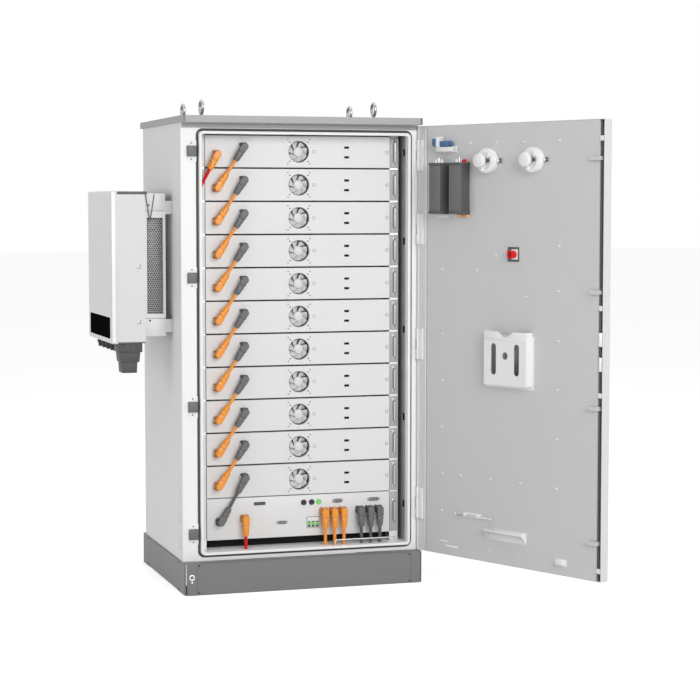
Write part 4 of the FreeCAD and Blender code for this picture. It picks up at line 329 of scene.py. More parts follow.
@dataclass(frozen=True)
class Finish:
    """A finish that a piece is given.

    Attributes:
        name: the material's name.
        slot: the record's material slot that it stands for; not used.
        color: base colour, linear.
        roughness: middle roughness.
        metallic: 1 for bare or plated metal.
        speckle: contrast of the fine grain.
        mottle: contrast of the wide variation.
        bump: strength of the surface relief.
        scale: how fine the grain is, per metre.
        coat: strength of a clear coat.
        dust: how much dust lies on faces that look up.
        glow: strength of a painted glow, light it gives though it is no lamp.
        gloss: how strongly it mirrors.
    """

    name: str
    slot: str
    color: tuple[float, float, float]
    roughness: float = 0.5
    metallic: float = 0.0
    speckle: float = 0.08
    mottle: float = 0.03
    bump: float = 0.12
    scale: float = 900.0
    coat: float = 0.0
    dust: float = 0.0
    glow: float = 0.0
    gloss: float = 0.5

    def group_inputs(self) -> dict[str, object]:
        """Gives the values for the shared grain group.

        Returns:
            The inputs' names and values.
        """
        return {"Color": (*self.color, 1), "Scale": self.scale, "Speckle": self.speckle,
                "Mottle": self.mottle,
                "Roughness": self.roughness, "Bump": self.bump}

    def group(self, effects: Effects) -> bpy.types.NodeTree:
        """Gives the shared group that makes this finish's surface."""
        return effects.grain

    def build(self, effects: Effects) -> bpy.types.Material:
        """Makes the material.

        Args:
            effects: the shared node groups.

        Returns:
            The material.
        """
        material = bpy.data.materials.new(self.name)
        material.use_nodes = True
        nodes = Nodes(material.node_tree)
        shader = material.node_tree.nodes["Principled BSDF"]
        skin = nodes.add("ShaderNodeGroup", node_tree=self.group(effects))
        for name, value in self.group_inputs().items():
            skin.inputs[name].default_value = value
        color = skin.outputs["Color"]
        if self.dust:
            dusty = nodes.add("ShaderNodeGroup", None, node_tree=effects.dust)
            nodes.tree.links.new(color, dusty.inputs["Color"])
            dusty.inputs["Amount"].default_value = self.dust
            color = dusty.outputs["Color"]
        nodes.tree.links.new(color, shader.inputs["Base Color"])
        nodes.tree.links.new(skin.outputs["Roughness"], shader.inputs["Roughness"])
        nodes.tree.links.new(skin.outputs["Normal"], shader.inputs["Normal"])
        shader.inputs["Metallic"].default_value = self.metallic
        shader.inputs["Coat Weight"].default_value = self.coat
        shader.inputs["Coat Roughness"].default_value = 0.15
        shader.inputs["Specular IOR Level"].default_value = self.gloss
        if self.glow:
            shader.inputs["Emission Color"].default_value = (*self.color, 1)
            shader.inputs["Emission Strength"].default_value = self.glow
        return material


@dataclass(frozen=True)
class DrawnFinish(Finish):
    """Bare or plated metal with drawn lines.

    Attributes:
        stretch: how fine the lines are along each axis.
        lines: contrast of the lines.
    """

    stretch: tuple[float, float, float] = (40.0, 40.0, 4.0)
    lines: float = 0.25

    def group_inputs(self) -> dict[str, object]:
        """Gives the values for the drawn metal group.

        Returns:
            The inputs' names and values.
        """
        return {"Color": (*self.color, 1), "Stretch": self.stretch, "Lines": self.lines,
                "Roughness": self.roughness, "Bump": self.bump}

    def group(self, effects: Effects) -> bpy.types.NodeTree:
        """Gives the shared group that makes this finish's surface."""
        return effects.brushed


class Paint(Enum):
    """Every finish on the unit."""

    CABINET = Finish("cabinet_coat", "cabinet_paint", (0.88, 0.88, 0.87), 0.48, speckle=0.16, bump=0.25,
                     dust=0.04)
    FRAME = Finish("frame_coat", "frame_paint", (0.90, 0.90, 0.895), 0.45, speckle=0.12, bump=0.2)
    # Grey painted as shade: under the lid's overhang on the frame's head, and inside the document holder.
    SHADE_GREY = Finish("painted_shade_coat", "frame_paint", (0.42, 0.42, 0.425), 0.5, speckle=0.12, bump=0.2)
    # Grey painted as the shade on the jambs and the right ears; the connector shells wear it as their own
    # grey.
    GREY_AND_SHADE = Finish("grey_and_shade_coat", "frame_paint", (0.42, 0.42, 0.425), 0.45, speckle=0.10, bump=0.15)
    # Dark grey of the seal in the gutter, also painted as the shade in the recess.
    GUTTER_SEAL_AND_SHADE = Finish("gutter_rubber_and_shade", "seal_rubber", (0.10, 0.10, 0.102), 0.7, speckle=0.2, bump=0.3,
                    gloss=0.2)
    # The door's paint in two copies: a darker one painted as shade on the inner sheet, lips and bars, and a
    # lighter one painted as light on the outer panel and studs.
    DOOR_SHADED = Finish("door_shaded_coat", "door_paint", (0.61, 0.61, 0.615), 0.50, speckle=0.10, bump=0.2)
    DOOR_LIT = Finish("door_lit_coat", "door_paint", (0.72, 0.72, 0.722), 0.50, speckle=0.10, bump=0.2)
    LID = Finish("lid_coat", "lid_paint", (0.385, 0.387, 0.39), 0.45, speckle=0.12, bump=0.2, dust=0.06)
    PLINTH = Finish("plinth_coat", "plinth_paint", (0.185, 0.185, 0.188), 0.5, speckle=0.22, bump=0.3,
                    dust=0.04)
    PLINTH_PANEL = Finish("plinth_panel_coat", "panel_paint", (0.185, 0.185, 0.188), 0.5, speckle=0.22,
                          bump=0.3)
    PACK = Finish("pack_coat", "pack_paint", (0.76, 0.76, 0.757), 0.42, speckle=0.06, bump=0.1)
    INVERTER = Finish("inverter_coat", "inverter_paint", (0.70, 0.70, 0.705), 0.42, speckle=0.08)
    COVER = Finish("cover_moulding", "cover_plastic", (0.78, 0.78, 0.785), 0.35, speckle=0.05, coat=0.2)
    BLACK = Finish("black_moulding", "black_plastic", (0.014, 0.014, 0.015), 0.45, speckle=0.2)
    DARK = Finish("dark_moulding", "dark_plastic", (0.085, 0.086, 0.088), 0.45, speckle=0.15, bump=0.25)
    SOCKET = Finish("socket_moulding", "black_plastic", (0.010, 0.010, 0.011), 0.8, speckle=0.2, gloss=0.15)
    FAN = Finish("fan_moulding", "white_plastic", (0.74, 0.74, 0.745), 0.4, speckle=0.05)
    # Dark grey of the real fan rims, also painted as shade rings round the lamps and ear screws.
    RING_AND_SHADE = Finish("ring_and_shade_moulding", "black_plastic", (0.26, 0.26, 0.265), 0.45, speckle=0.1)
    CELLS = DrawnFinish("cell_cases", "cell_case", (0.5, 0.52, 0.55), 0.4, metallic=1.0)
    ZINC = DrawnFinish("zinc_plate", "zinc", (0.72, 0.72, 0.73), 0.32, metallic=1.0)
    STEEL = DrawnFinish("galvanised_sheet", "galvanised", (0.62, 0.63, 0.64), 0.42, metallic=0.9)
    CHROME = DrawnFinish("plated_wire", "stay_wire", (0.86, 0.86, 0.87), 0.16, metallic=1.0, lines=0.05)
    GRIP = DrawnFinish("handle_wire", "zinc", (0.55, 0.55, 0.56), 0.3, metallic=0.8, lines=0.05)
    EYE = DrawnFinish("forged_eye", "zinc", (0.42, 0.42, 0.43), 0.3, metallic=1.0, lines=0.1)
    MODULE = Finish("module_moulding", "dark_plastic", (0.135, 0.136, 0.138), 0.5, speckle=0.12, bump=0.2)
    # Near white painted as the highlight on the cover's rounded side edge.
    EDGE_HIGHLIGHT = Finish("painted_highlight_moulding", "cover_plastic", (0.94, 0.94, 0.94), 0.3, speckle=0.03)
    COPPER = DrawnFinish("copper_tab", "zinc", (0.72, 0.36, 0.16), 0.35, metallic=0.8)
    ORANGE = Finish("orange_moulding", "plug_orange", (0.86, 0.31, 0.022), 0.38, speckle=0.06, coat=0.1)
    PLUG_DARK = Finish("dark_plug_moulding", "dark_plastic", (0.125, 0.125, 0.128), 0.45, speckle=0.1)
    BASE_DARK = Finish("dark_base_moulding", "dark_plastic", (0.062, 0.062, 0.064), 0.55, speckle=0.1)
    CABLE_ORANGE = Finish("orange_sheath", "cable_jacket", (0.87, 0.30, 0.025), 0.42, speckle=0.06)
    CABLE_DARK = Finish("dark_sheath", "cable_jacket", (0.085, 0.085, 0.088), 0.5, speckle=0.1)
    CABLE_RED = Finish("red_sheath", "cable_jacket", (0.66, 0.010, 0.016), 0.5, speckle=0.05, gloss=0.15)
    # A darker copy of the plug orange, painted as the shade on the orange plugs' bases.
    ORANGE_SHADED = Finish("shaded_orange_moulding", "plug_orange", (0.56, 0.19, 0.014), 0.45, speckle=0.06)
    SEAL = Finish("seal_foam", "seal_rubber", (0.90, 0.90, 0.895), 0.7, speckle=0.08, bump=0.2)
    HINGE = Finish("hinge_coat", "zinc", (0.86, 0.86, 0.855), 0.4, speckle=0.08)
    # Dark colour of the fins, also painted as the shade inside the guard on the sheets behind the mesh.
    FIN_AND_SHADE = DrawnFinish("cast_fins_and_shade", "inverter_paint", (0.07, 0.07, 0.072), 0.4, metallic=0.5)
    RED = Finish("red_moulding", "stop_red", (0.70, 0.008, 0.010), 0.4, speckle=0.03, coat=0.05, gloss=0.25)
    # Green with a painted glow, though the toggles, button and bezel are no lamps.
    GREEN_GLOW = Finish("green_glow_moulding", "green_plastic", (0.18, 0.60, 0.14), 0.3, speckle=0.03, coat=0.3,
                   glow=0.12)
    WHITE = Finish("white_moulding", "white_plastic", (0.83, 0.83, 0.82), 0.35, speckle=0.04)
    HOLDER = Finish("holder_moulding", "holder_plastic", (0.84, 0.84, 0.845), 0.45, speckle=0.05)
    BLUE = Finish("blue_moulding", "dark_plastic", (0.045, 0.13, 0.28), 0.4, speckle=0.05)
    DISPLAY = Finish("display_window", "black_plastic", (0.006, 0.006, 0.007), 0.4, speckle=0.0, bump=0.0,
                     gloss=0.0)


class Workshop:
    """Keeps the materials and turns meshes into pieces of the unit.

    Attributes:
        drawing: the drawing's places.
        nodes: the frame's nodes by name.
        effects: the shared node groups.
    """

    def __init__(self, drawing: Drawing, nodes: dict[str, bpy.types.Object]) -> None:
        """Builds every material.

        Args:
            drawing: the drawing's places.
            nodes: the frame's nodes by name.
        """
        self.drawing = drawing
        self.nodes = nodes
        self.effects = Effects()
        self.materials = {paint: paint.value.build(self.effects) for paint in Paint}

    def dress(self, **paints: Paint) -> None:
        """Gives frame nodes their finishes and soft edges.

        Args:
            **paints: the finish of each node, by the node's name.
        """
        for name, paint in paints.items():
            thing = self.nodes[name]
            thing.data.materials.clear()
            thing.data.materials.append(self.materials[paint])
            weld = thing.modifiers.new("joined_facets", "WELD")
            weld.merge_threshold = NODE_MERGE * MM
            bevel = thing.modifiers.new("soft_edges", "BEVEL")
            bevel.width = NODE_EDGE * MM
            bevel.segments = EDGE_STEPS
            bevel.limit_method = "ANGLE"
            bevel.angle_limit = EASED
            bevel.use_clamp_overlap = True
            bevel.harden_normals = True

    def hang(self, body: str, pieces: dict[Piece, Paint], *stands_for: str) -> None:
        """Turns meshes into pieces that ride on one body.

        Args:
            body: the body that they ride on.
            pieces: the finish of each piece.
            *stands_for: the frame nodes that they stand for.
        """
        matrix = self.drawing.door() if body == "door" else self.drawing.cabinet()
        for piece, paint in pieces.items():
            thing = piece.finish(matrix, self.materials[paint])
            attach(thing, body)
            if stands_for:
                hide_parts(*stands_for)


class Piece:
    """One mesh under construction, drawn in millimetres.

    Attributes:
        name: the piece's name.
        mesh: the mesh so far.
        frame: where the next shapes are put.
    """

    TURNS = {Axis.X: Matrix.Rotation(math.pi / 2, 4, "Y"), Axis.Y: Matrix.Rotation(-math.pi / 2, 4, "X"),
             Axis.Z: Matrix.Identity(4)}

    def __init__(self, name: str) -> None:
        """Starts an empty piece.

        Args:
            name: the piece's name.
        """
        self.name = name
        self.mesh = bmesh.new()
        self.frame = Matrix.Identity(4)

    @contextmanager
    def within(self, matrix: Matrix) -> Iterator["Piece"]:
        """Puts the shapes that follow in a turned or shifted place.

        Args:
            matrix: the place, inside the present one.

        Yields:
            This piece.
        """
        kept, self.frame = self.frame, self.frame @ matrix
        yield self
        self.frame = kept

    def cube(self, *spans: Span) -> list:
        """Makes the eight points of a block between two places along each axis.

        Args:
            spans: the two places along X, Y and Z.

        Returns:
            The new points.
        """
        verts = bmesh.ops.create_cube(self.mesh, size=1.0)["verts"]
        bmesh.ops.scale(self.mesh, vec=[span[1] - span[0] for span in spans], verts=verts)
        bmesh.ops.translate(self.mesh, vec=[(span[0] + span[1]) / 2 for span in spans], verts=verts)
        return verts

    def ring(self, radius: float, sides: int) -> list:
        """Makes the points of an open ring square to Z."""
        return bmesh.ops.create_circle(self.mesh, cap_ends=False, radius=radius, segments=sides)["verts"]

    def bridge(self, verts: list) -> list:
        """Fills the space between two rings with faces and gives them."""
        edges = {side for vert in verts for side in vert.link_edges}
        return bmesh.ops.bridge_loops(self.mesh, edges=list(edges))["faces"]

    def raised(self, faces: list, shift: Point) -> list:
        """Extrudes faces along a shift and gives the new points.

        Args:
            faces: the faces to extrude.
            shift: how far they go along X, Y and Z.

        Returns:
            The new points.
        """
        made = bmesh.ops.extrude_face_region(self.mesh, geom=faces)["geom"]
        verts = [item for item in made if isinstance(item, bmesh.types.BMVert)]
        bmesh.ops.translate(self.mesh, vec=shift, verts=verts)
        return verts

    @staticmethod
    def joined(edges: list) -> set:
        """Gives every point that hangs together with some edges.

        Args:
            edges: the edges to start from.

        Returns:
            The points.
        """
        reached = {vert for edge in edges for face in edge.link_faces for vert in face.verts}
        border = reached
        while border:
            border = {side.other_vert(vert) for vert in border for side in vert.link_edges} - reached
            reached |= border
        return reached

    def settle(self, verts: list, edge: float = 0.0) -> None:
        """Moves new points to the present place and softens their sharp edges by a width.

        Args:
            verts: the new points.
            edge: the width, or 0 for sharp edges.
        """
        bmesh.ops.transform(self.mesh, matrix=self.frame, verts=verts)
        if edge:
            faces = {face for vert in verts for face in vert.link_faces}
            bmesh.ops.recalc_face_normals(self.mesh, faces=list(faces))
            edges = {side for vert in verts for side in vert.link_edges}
            sharp = [side for side in edges if side.calc_face_angle(0.0) > SHARP]
            bmesh.ops.bevel(self.mesh, geom=sharp, offset=edge, offset_type="OFFSET", affect="EDGES",
                            segments=EDGE_STEPS, profile=0.5, material=-1, clamp_overlap=True)

    def block(self, x: Span, y: Span, z: Span, edge: float = 0.0) -> None:
        """Adds a block between two places along each axis."""
        self.settle(self.cube(x, y, z), edge)

    def tray(self, x: Span, y: Span, z: Span, facing: Point, rim: float, depth: float,
             edge: float = 0.0) -> None:
        """Adds a block with a hollow in one side.

        Args:
            x: its places along X.
            y: its places along Y.
            z: its places along Z.
            facing: the direction that the hollow opens to.
            rim: the wall round the hollow.
            depth: the hollow's depth.
            edge: the width of the softened edges.
        """
        faces = {face for vert in self.cube(x, y, z) for face in vert.link_faces}
        for face in faces:
            face.normal_update()
        mouth = max(faces, key=lambda face: face.normal.dot(Vector(facing)))
        bmesh.ops.inset_region(self.mesh, faces=[mouth], thickness=rim, use_even_offset=True)
        floor = self.raised([mouth], -Vector(facing) * depth)
        bmesh.ops.delete(self.mesh, geom=[mouth], context="FACES_ONLY")
        every = {vert for face in faces if face.is_valid for vert in face.verts} | set(floor)
        every |= {side.other_vert(vert) for vert in list(every) for side in vert.link_edges}
        self.settle(list(every), edge)

    def drum(self, axis: Axis, radius: float, centre: Span, span: Span, sides: int = 32,
             edge: float = 0.0) -> None:
        """Adds a round bar along an axis.

        Args:
            axis: the axis that it stands along.
            radius: its radius.
            centre: its other two places, in X, Y, Z order.
            span: its ends along the axis.
            sides: how many faces round it.
            edge: the width of the softened edges.
        """
        verts = bmesh.ops.create_cone(self.mesh, cap_ends=True, cap_tris=False, segments=sides,
                                      radius1=radius,
                                      radius2=radius, depth=span[1] - span[0])["verts"]
        self.stand(verts, axis, centre, (span[0] + span[1]) / 2)
        self.settle(verts, edge)

    def stand(self, verts: list, axis: Axis, centre: Span, level: float) -> None:
        """Turns points from Z to an axis and shifts them to their place.

        Args:
            verts: the points, drawn along Z.
            axis: the axis they turn to.
            centre: their other two places.
            level: their place along the axis.
        """
        middle = list(centre)
        middle.insert(axis.value, level)
        bmesh.ops.transform(self.mesh, matrix=Matrix.Translation(middle) @ self.TURNS[axis], verts=verts)

    def lathe(self, axis: Axis, centre: Span, profile: Sequence[Span], sides: int = 40) -> None:
        """Spins a profile of (radius, level) points about an axis.

        Args:
            axis: the axis of the turned shape.
            centre: its other two places.
            profile: the points from one end to the other.
            sides: steps of a full turn.
        """
        verts = [self.mesh.verts.new((radius, 0, level)) for radius, level in profile]
        edges = [self.mesh.edges.new(pair) for pair in zip(verts, verts[1:])]
        bmesh.ops.spin(self.mesh, geom=verts + edges, cent=(0, 0, 0), axis=(0, 0, 1), angle=math.tau,
                       steps=sides,
                       use_merge=True, use_duplicate=False)
        swept = list(self.joined(edges))
        self.stand(swept, axis, centre, 0.0)
        bmesh.ops.transform(self.mesh, matrix=self.frame, verts=swept)
        bmesh.ops.remove_doubles(self.mesh, verts=swept, dist=MERGE)

    def plate(self, axis: Axis, outline: Sequence[Span], span: Span, edge: float = 0.0) -> None:
        """Extrudes an outline, given by its other two places in X, Y, Z order, between two levels.

        Args:
            axis: the axis of the plate's thickness.
            outline: the outline's points.
            span: the plate's two levels.
            edge: the width its edges are softened by.
        """
        corners = []
        for pair in outline:
            spot = list(pair)
            spot.insert(axis.value, span[0])
            corners.append(self.mesh.verts.new(spot))
        shift = [0.0, 0.0, 0.0]
        shift[axis.value] = span[1] - span[0]
        self.settle(corners + self.raised([self.mesh.faces.new(corners)], shift), edge)

    def pierced(self, centre: Span, half: Span, radius: float, span: Span) -> None:
        """Adds a rectangular plate, square to Y, with a round hole in its middle.

        Args:
            centre: its middle, X and Z.
            half: its half sizes.
            radius: the hole's radius.
            span: its two faces along Y.
        """
        inner, outer = self.ring(radius, 48), self.ring(1.0, 48)
        corners = [Vector((sx * half[0], sy * half[1], 0)) for sx in (-1, 1) for sy in (-1, 1)]
        for vert in outer:
            vert.co /= max(abs(vert.co.x) / half[0], abs(vert.co.y) / half[1])
        for corner in corners:
            min(outer, key=lambda vert: (vert.co - corner).length).co = corner
        spots = inner + outer + self.raised(self.bridge(inner + outer), (0, 0, span[1] - span[0]))
        for vert in spots:
            vert.co = Vector((vert.co.x, vert.co.z, vert.co.y))
        bmesh.ops.translate(self.mesh, vec=(centre[0], span[0], centre[1]), verts=spots)
        bmesh.ops.transform(self.mesh, matrix=self.frame, verts=spots)

    def border(self, sides: tuple, inner: float, level: Span, bends: Span) -> None:
        """Adds a flat frame with rounded corners, square to Y.

        Args:
            sides: its left, right, lower and upper edge.
            inner: its width, which may not reach the middle.
            level: its two faces along Y.
            bends: the radii of its outer and inner corners.
        """
        left, right, low, high = sides
        loops = []
        for shrink, bend in ((0.0, bends[0]), (inner, bends[1])):
            loop = self.ring(bend, 40)
            bmesh.ops.rotate(self.mesh, matrix=Matrix.Rotation(math.pi / 40, 3, "Z"), verts=loop)
            for vert in loop:
                x, z = vert.co.x, vert.co.y
                x += (right if x > 0 else left) + math.copysign(1, -x) * (shrink + bend)
                z += (high if z > 0 else low) + math.copysign(1, -z) * (shrink + bend)
                vert.co = Vector((x, level[0], z))
            loops += loop
        loops += self.raised(self.bridge(loops), (0, level[1] - level[0], 0))
        bmesh.ops.transform(self.mesh, matrix=self.frame, verts=loops)

    def blade(self, hub: Point, root: float, tip: float, start: float, sweep: float, rise: float,
              thick: float) -> None:
        """Adds one twisted fan blade round an axis along Y.

        Args:
            hub: the place on the axis where the leading edge starts.
            root: radius at the hub.
            tip: radius at the end.
            start: angle of the leading edge, clockwise from up as seen from the front.
            sweep: angle that the blade covers.
            rise: how far it runs along the axis.
            thick: its thickness.
        """
        steps = 8
        radii = [root + (tip - root) * number / 4 for number in range(5)]
        verts = []
        for number, radius in enumerate(radii):
            turn = start + 0.10 * number
            verts.append(self.mesh.verts.new((radius * math.sin(turn), 0, radius * math.cos(turn))))
        edges = [self.mesh.edges.new(pair) for pair in zip(verts, verts[1:])]
        made = bmesh.ops.spin(self.mesh, geom=verts + edges, cent=(0, 0, 0), axis=(0, 1, 0), angle=sweep,
                              steps=steps,
                              dvec=(0, rise / steps, 0), use_merge=False, use_duplicate=False)["geom_last"]
        reached = self.joined(edges) | {item for item in made if isinstance(item, bmesh.types.BMVert)}
        faces = list({face for vert in reached for face in vert.link_faces})
        bmesh.ops.recalc_face_normals(self.mesh, faces=faces)
        known = set(self.mesh.verts)
        bmesh.ops.solidify(self.mesh, geom=faces, thickness=thick)
        every = list(reached) + [vert for vert in self.mesh.verts if vert not in known]
        bmesh.ops.transform(self.mesh, matrix=self.frame @ Matrix.Translation(hub), verts=every)

    def honeycomb(self, x: Span, z: Span, level: Span, pitch: float, hole: float) -> None:
        """Adds a perforated sheet square to Y, made of six-sided cells with round holes.

        Args:
            x: its places along X.
            z: its places along Z.
            level: its two faces along Y.
            pitch: one hole to the next.
            hole: the holes' radius.
        """
        cells = []
        reach = pitch / math.sqrt(3)
        rows = int((z[1] - z[0]) / (reach * 1.5))
        columns = int((x[1] - x[0]) / pitch)
        for row in range(rows):
            for column in range(columns - row % 2):
                outer, inner = self.ring(reach, 6), self.ring(hole, 6)
                self.bridge(inner + outer)
                spot = (x[0] + pitch * (column + 0.5 + 0.5 * (row % 2)), z[0] + reach * (1.5 * row + 1), 0)
                bmesh.ops.translate(self.mesh, vec=spot, verts=inner + outer)
                cells += inner + outer
        bmesh.ops.remove_doubles(self.mesh, verts=cells, dist=0.01)
        faces = list({face for vert in cells if vert.is_valid for face in vert.link_faces})
        lifted = self.raised(faces, (0, 0, level[1] - level[0]))
        spots = {vert for vert in cells if vert.is_valid} | set(lifted)
        for vert in spots:
            vert.co = Vector((vert.co.x, vert.co.z + level[0], vert.co.y))
        bmesh.ops.transform(self.mesh, matrix=self.frame, verts=list(spots))

    def tube(self, points: Sequence[Point], radius: float, bend: float = 0.0, sides: int = 16) -> None:
        """Sweeps a round bar along straight runs with rounded corners.

        Args:
            points: the ends and corners of its middle line.
            radius: the bar's radius.
            bend: the radius of its corners.
            sides: how many faces round it.
        """
        path = self.rounded([Vector(point) for point in points], bend)
        heading = (path[1] - path[0]).normalized()
        turn = Vector((0, 0, 1)).rotation_difference(heading).to_matrix().to_4x4()
        place = Matrix.Translation(path[0]) @ turn
        ring = bmesh.ops.create_circle(self.mesh, cap_ends=True, radius=radius, segments=sides)["verts"]
        bmesh.ops.transform(self.mesh, matrix=self.frame @ place, verts=ring)
        face = ring[0].link_faces[0]
        for index in range(1, len(path)):
            before = (path[index] - path[index - 1]).normalized()
            after = (path[index + 1] - path[index]).normalized() if index + 1 < len(path) else before
            middle = (before + after).normalized()
            turn = heading.rotation_difference(middle).to_matrix().to_4x4() @ turn
            heading = middle
            following = Matrix.Translation(path[index]) @ turn
            made = bmesh.ops.extrude_face_region(self.mesh, geom=[face])["geom"]
            if index > 1:
                bmesh.ops.delete(self.mesh, geom=[face], context="FACES_ONLY")
            face = next(item for item in made if isinstance(item, bmesh.types.BMFace))
            step = self.frame @ following @ place.inverted() @ self.frame.inverted()
            bmesh.ops.transform(self.mesh, matrix=step, verts=list(face.verts))
            place = following

    @staticmethod
    def rounded(points: list[Vector], bend: float, arc: int = 6) -> list[Vector]:
        """Gives the points of a line whose corners are cut back towards the middle of their bend.

        Args:
            points: the line's points.
            bend: the radius of a bend.
            arc: steps in a bend.

        Returns:
            The points with those of the bends.
        """
        path = [points[0]]
        for before, corner, after in zip(points, points[1:], points[2:]):
            inward, outward = (before - corner), (after - corner)
            half = inward.angle(outward) / 2
            reach = min(bend / math.tan(half), inward.length * 0.49, outward.length * 0.49)
            inward.normalize()
            outward.normalize()
            begin, end = corner + inward * reach, corner + outward * reach
            hub = corner + (inward + outward).normalized() * (reach / math.cos(half))
            path += [hub + (begin - hub).slerp(end - hub, step / arc) for step in range(arc + 1)]
        path.append(points[-1])
        return path

    def finish(self, matrix: Matrix, material: bpy.types.Material) -> bpy.types.Object:
        """Turns the mesh into an object.

        Args:
            matrix: from its millimetres to the frame.
            material: its material.

        Returns:
            The finished object.
        """
        bmesh.ops.transform(self.mesh, matrix=matrix, verts=self.mesh.verts)
        bmesh.ops.recalc_face_normals(self.mesh, faces=self.mesh.faces)
        data = bpy.data.meshes.new(self.name)
        self.mesh.to_mesh(data)
        self.mesh.free()
        data.materials.append(material)
        data.polygons.foreach_set("use_smooth", [True] * len(data.polygons))
        data.set_sharp_from_angle(angle=SMOOTH)
        thing = bpy.data.objects.new(self.name, data)
        bpy.context.scene.collection.objects.link(thing)
        log.info("%s, %d faces", self.name, len(data.polygons))
        return thing


def ahead(face: float, *profile: Span) -> list[Span]:
    """Gives a turned profile whose levels are measured forwards from a face."""
    return [(radius, face - rise) for radius, rise in profile]


def screw(piece: Piece, axis: Axis, centre: Span, level: float, toward: float, radius: float = 3.2) -> None:
    """Adds a small domed screw with a socket, whose head stands towards one side.

    Args:
        piece: the piece the screw goes into.
        axis: the axis it stands along.
        centre: its other two places.
        level: the face it sits on.
        toward: 1 or -1, the way its head points.
        radius: its head's radius.
    """
    rise = radius * 0.55 * toward
    piece.lathe(axis, centre, ((0.0, level + rise * 0.35), (radius * 0.45, level + rise * 0.35),
                               (radius * 0.5, level + rise), (radius * 0.8, level + rise * 0.9),
                               (radius, level + rise * 0.35), (radius, level - rise * 0.2),
                               (0.0, level - rise * 0.2)), 18)


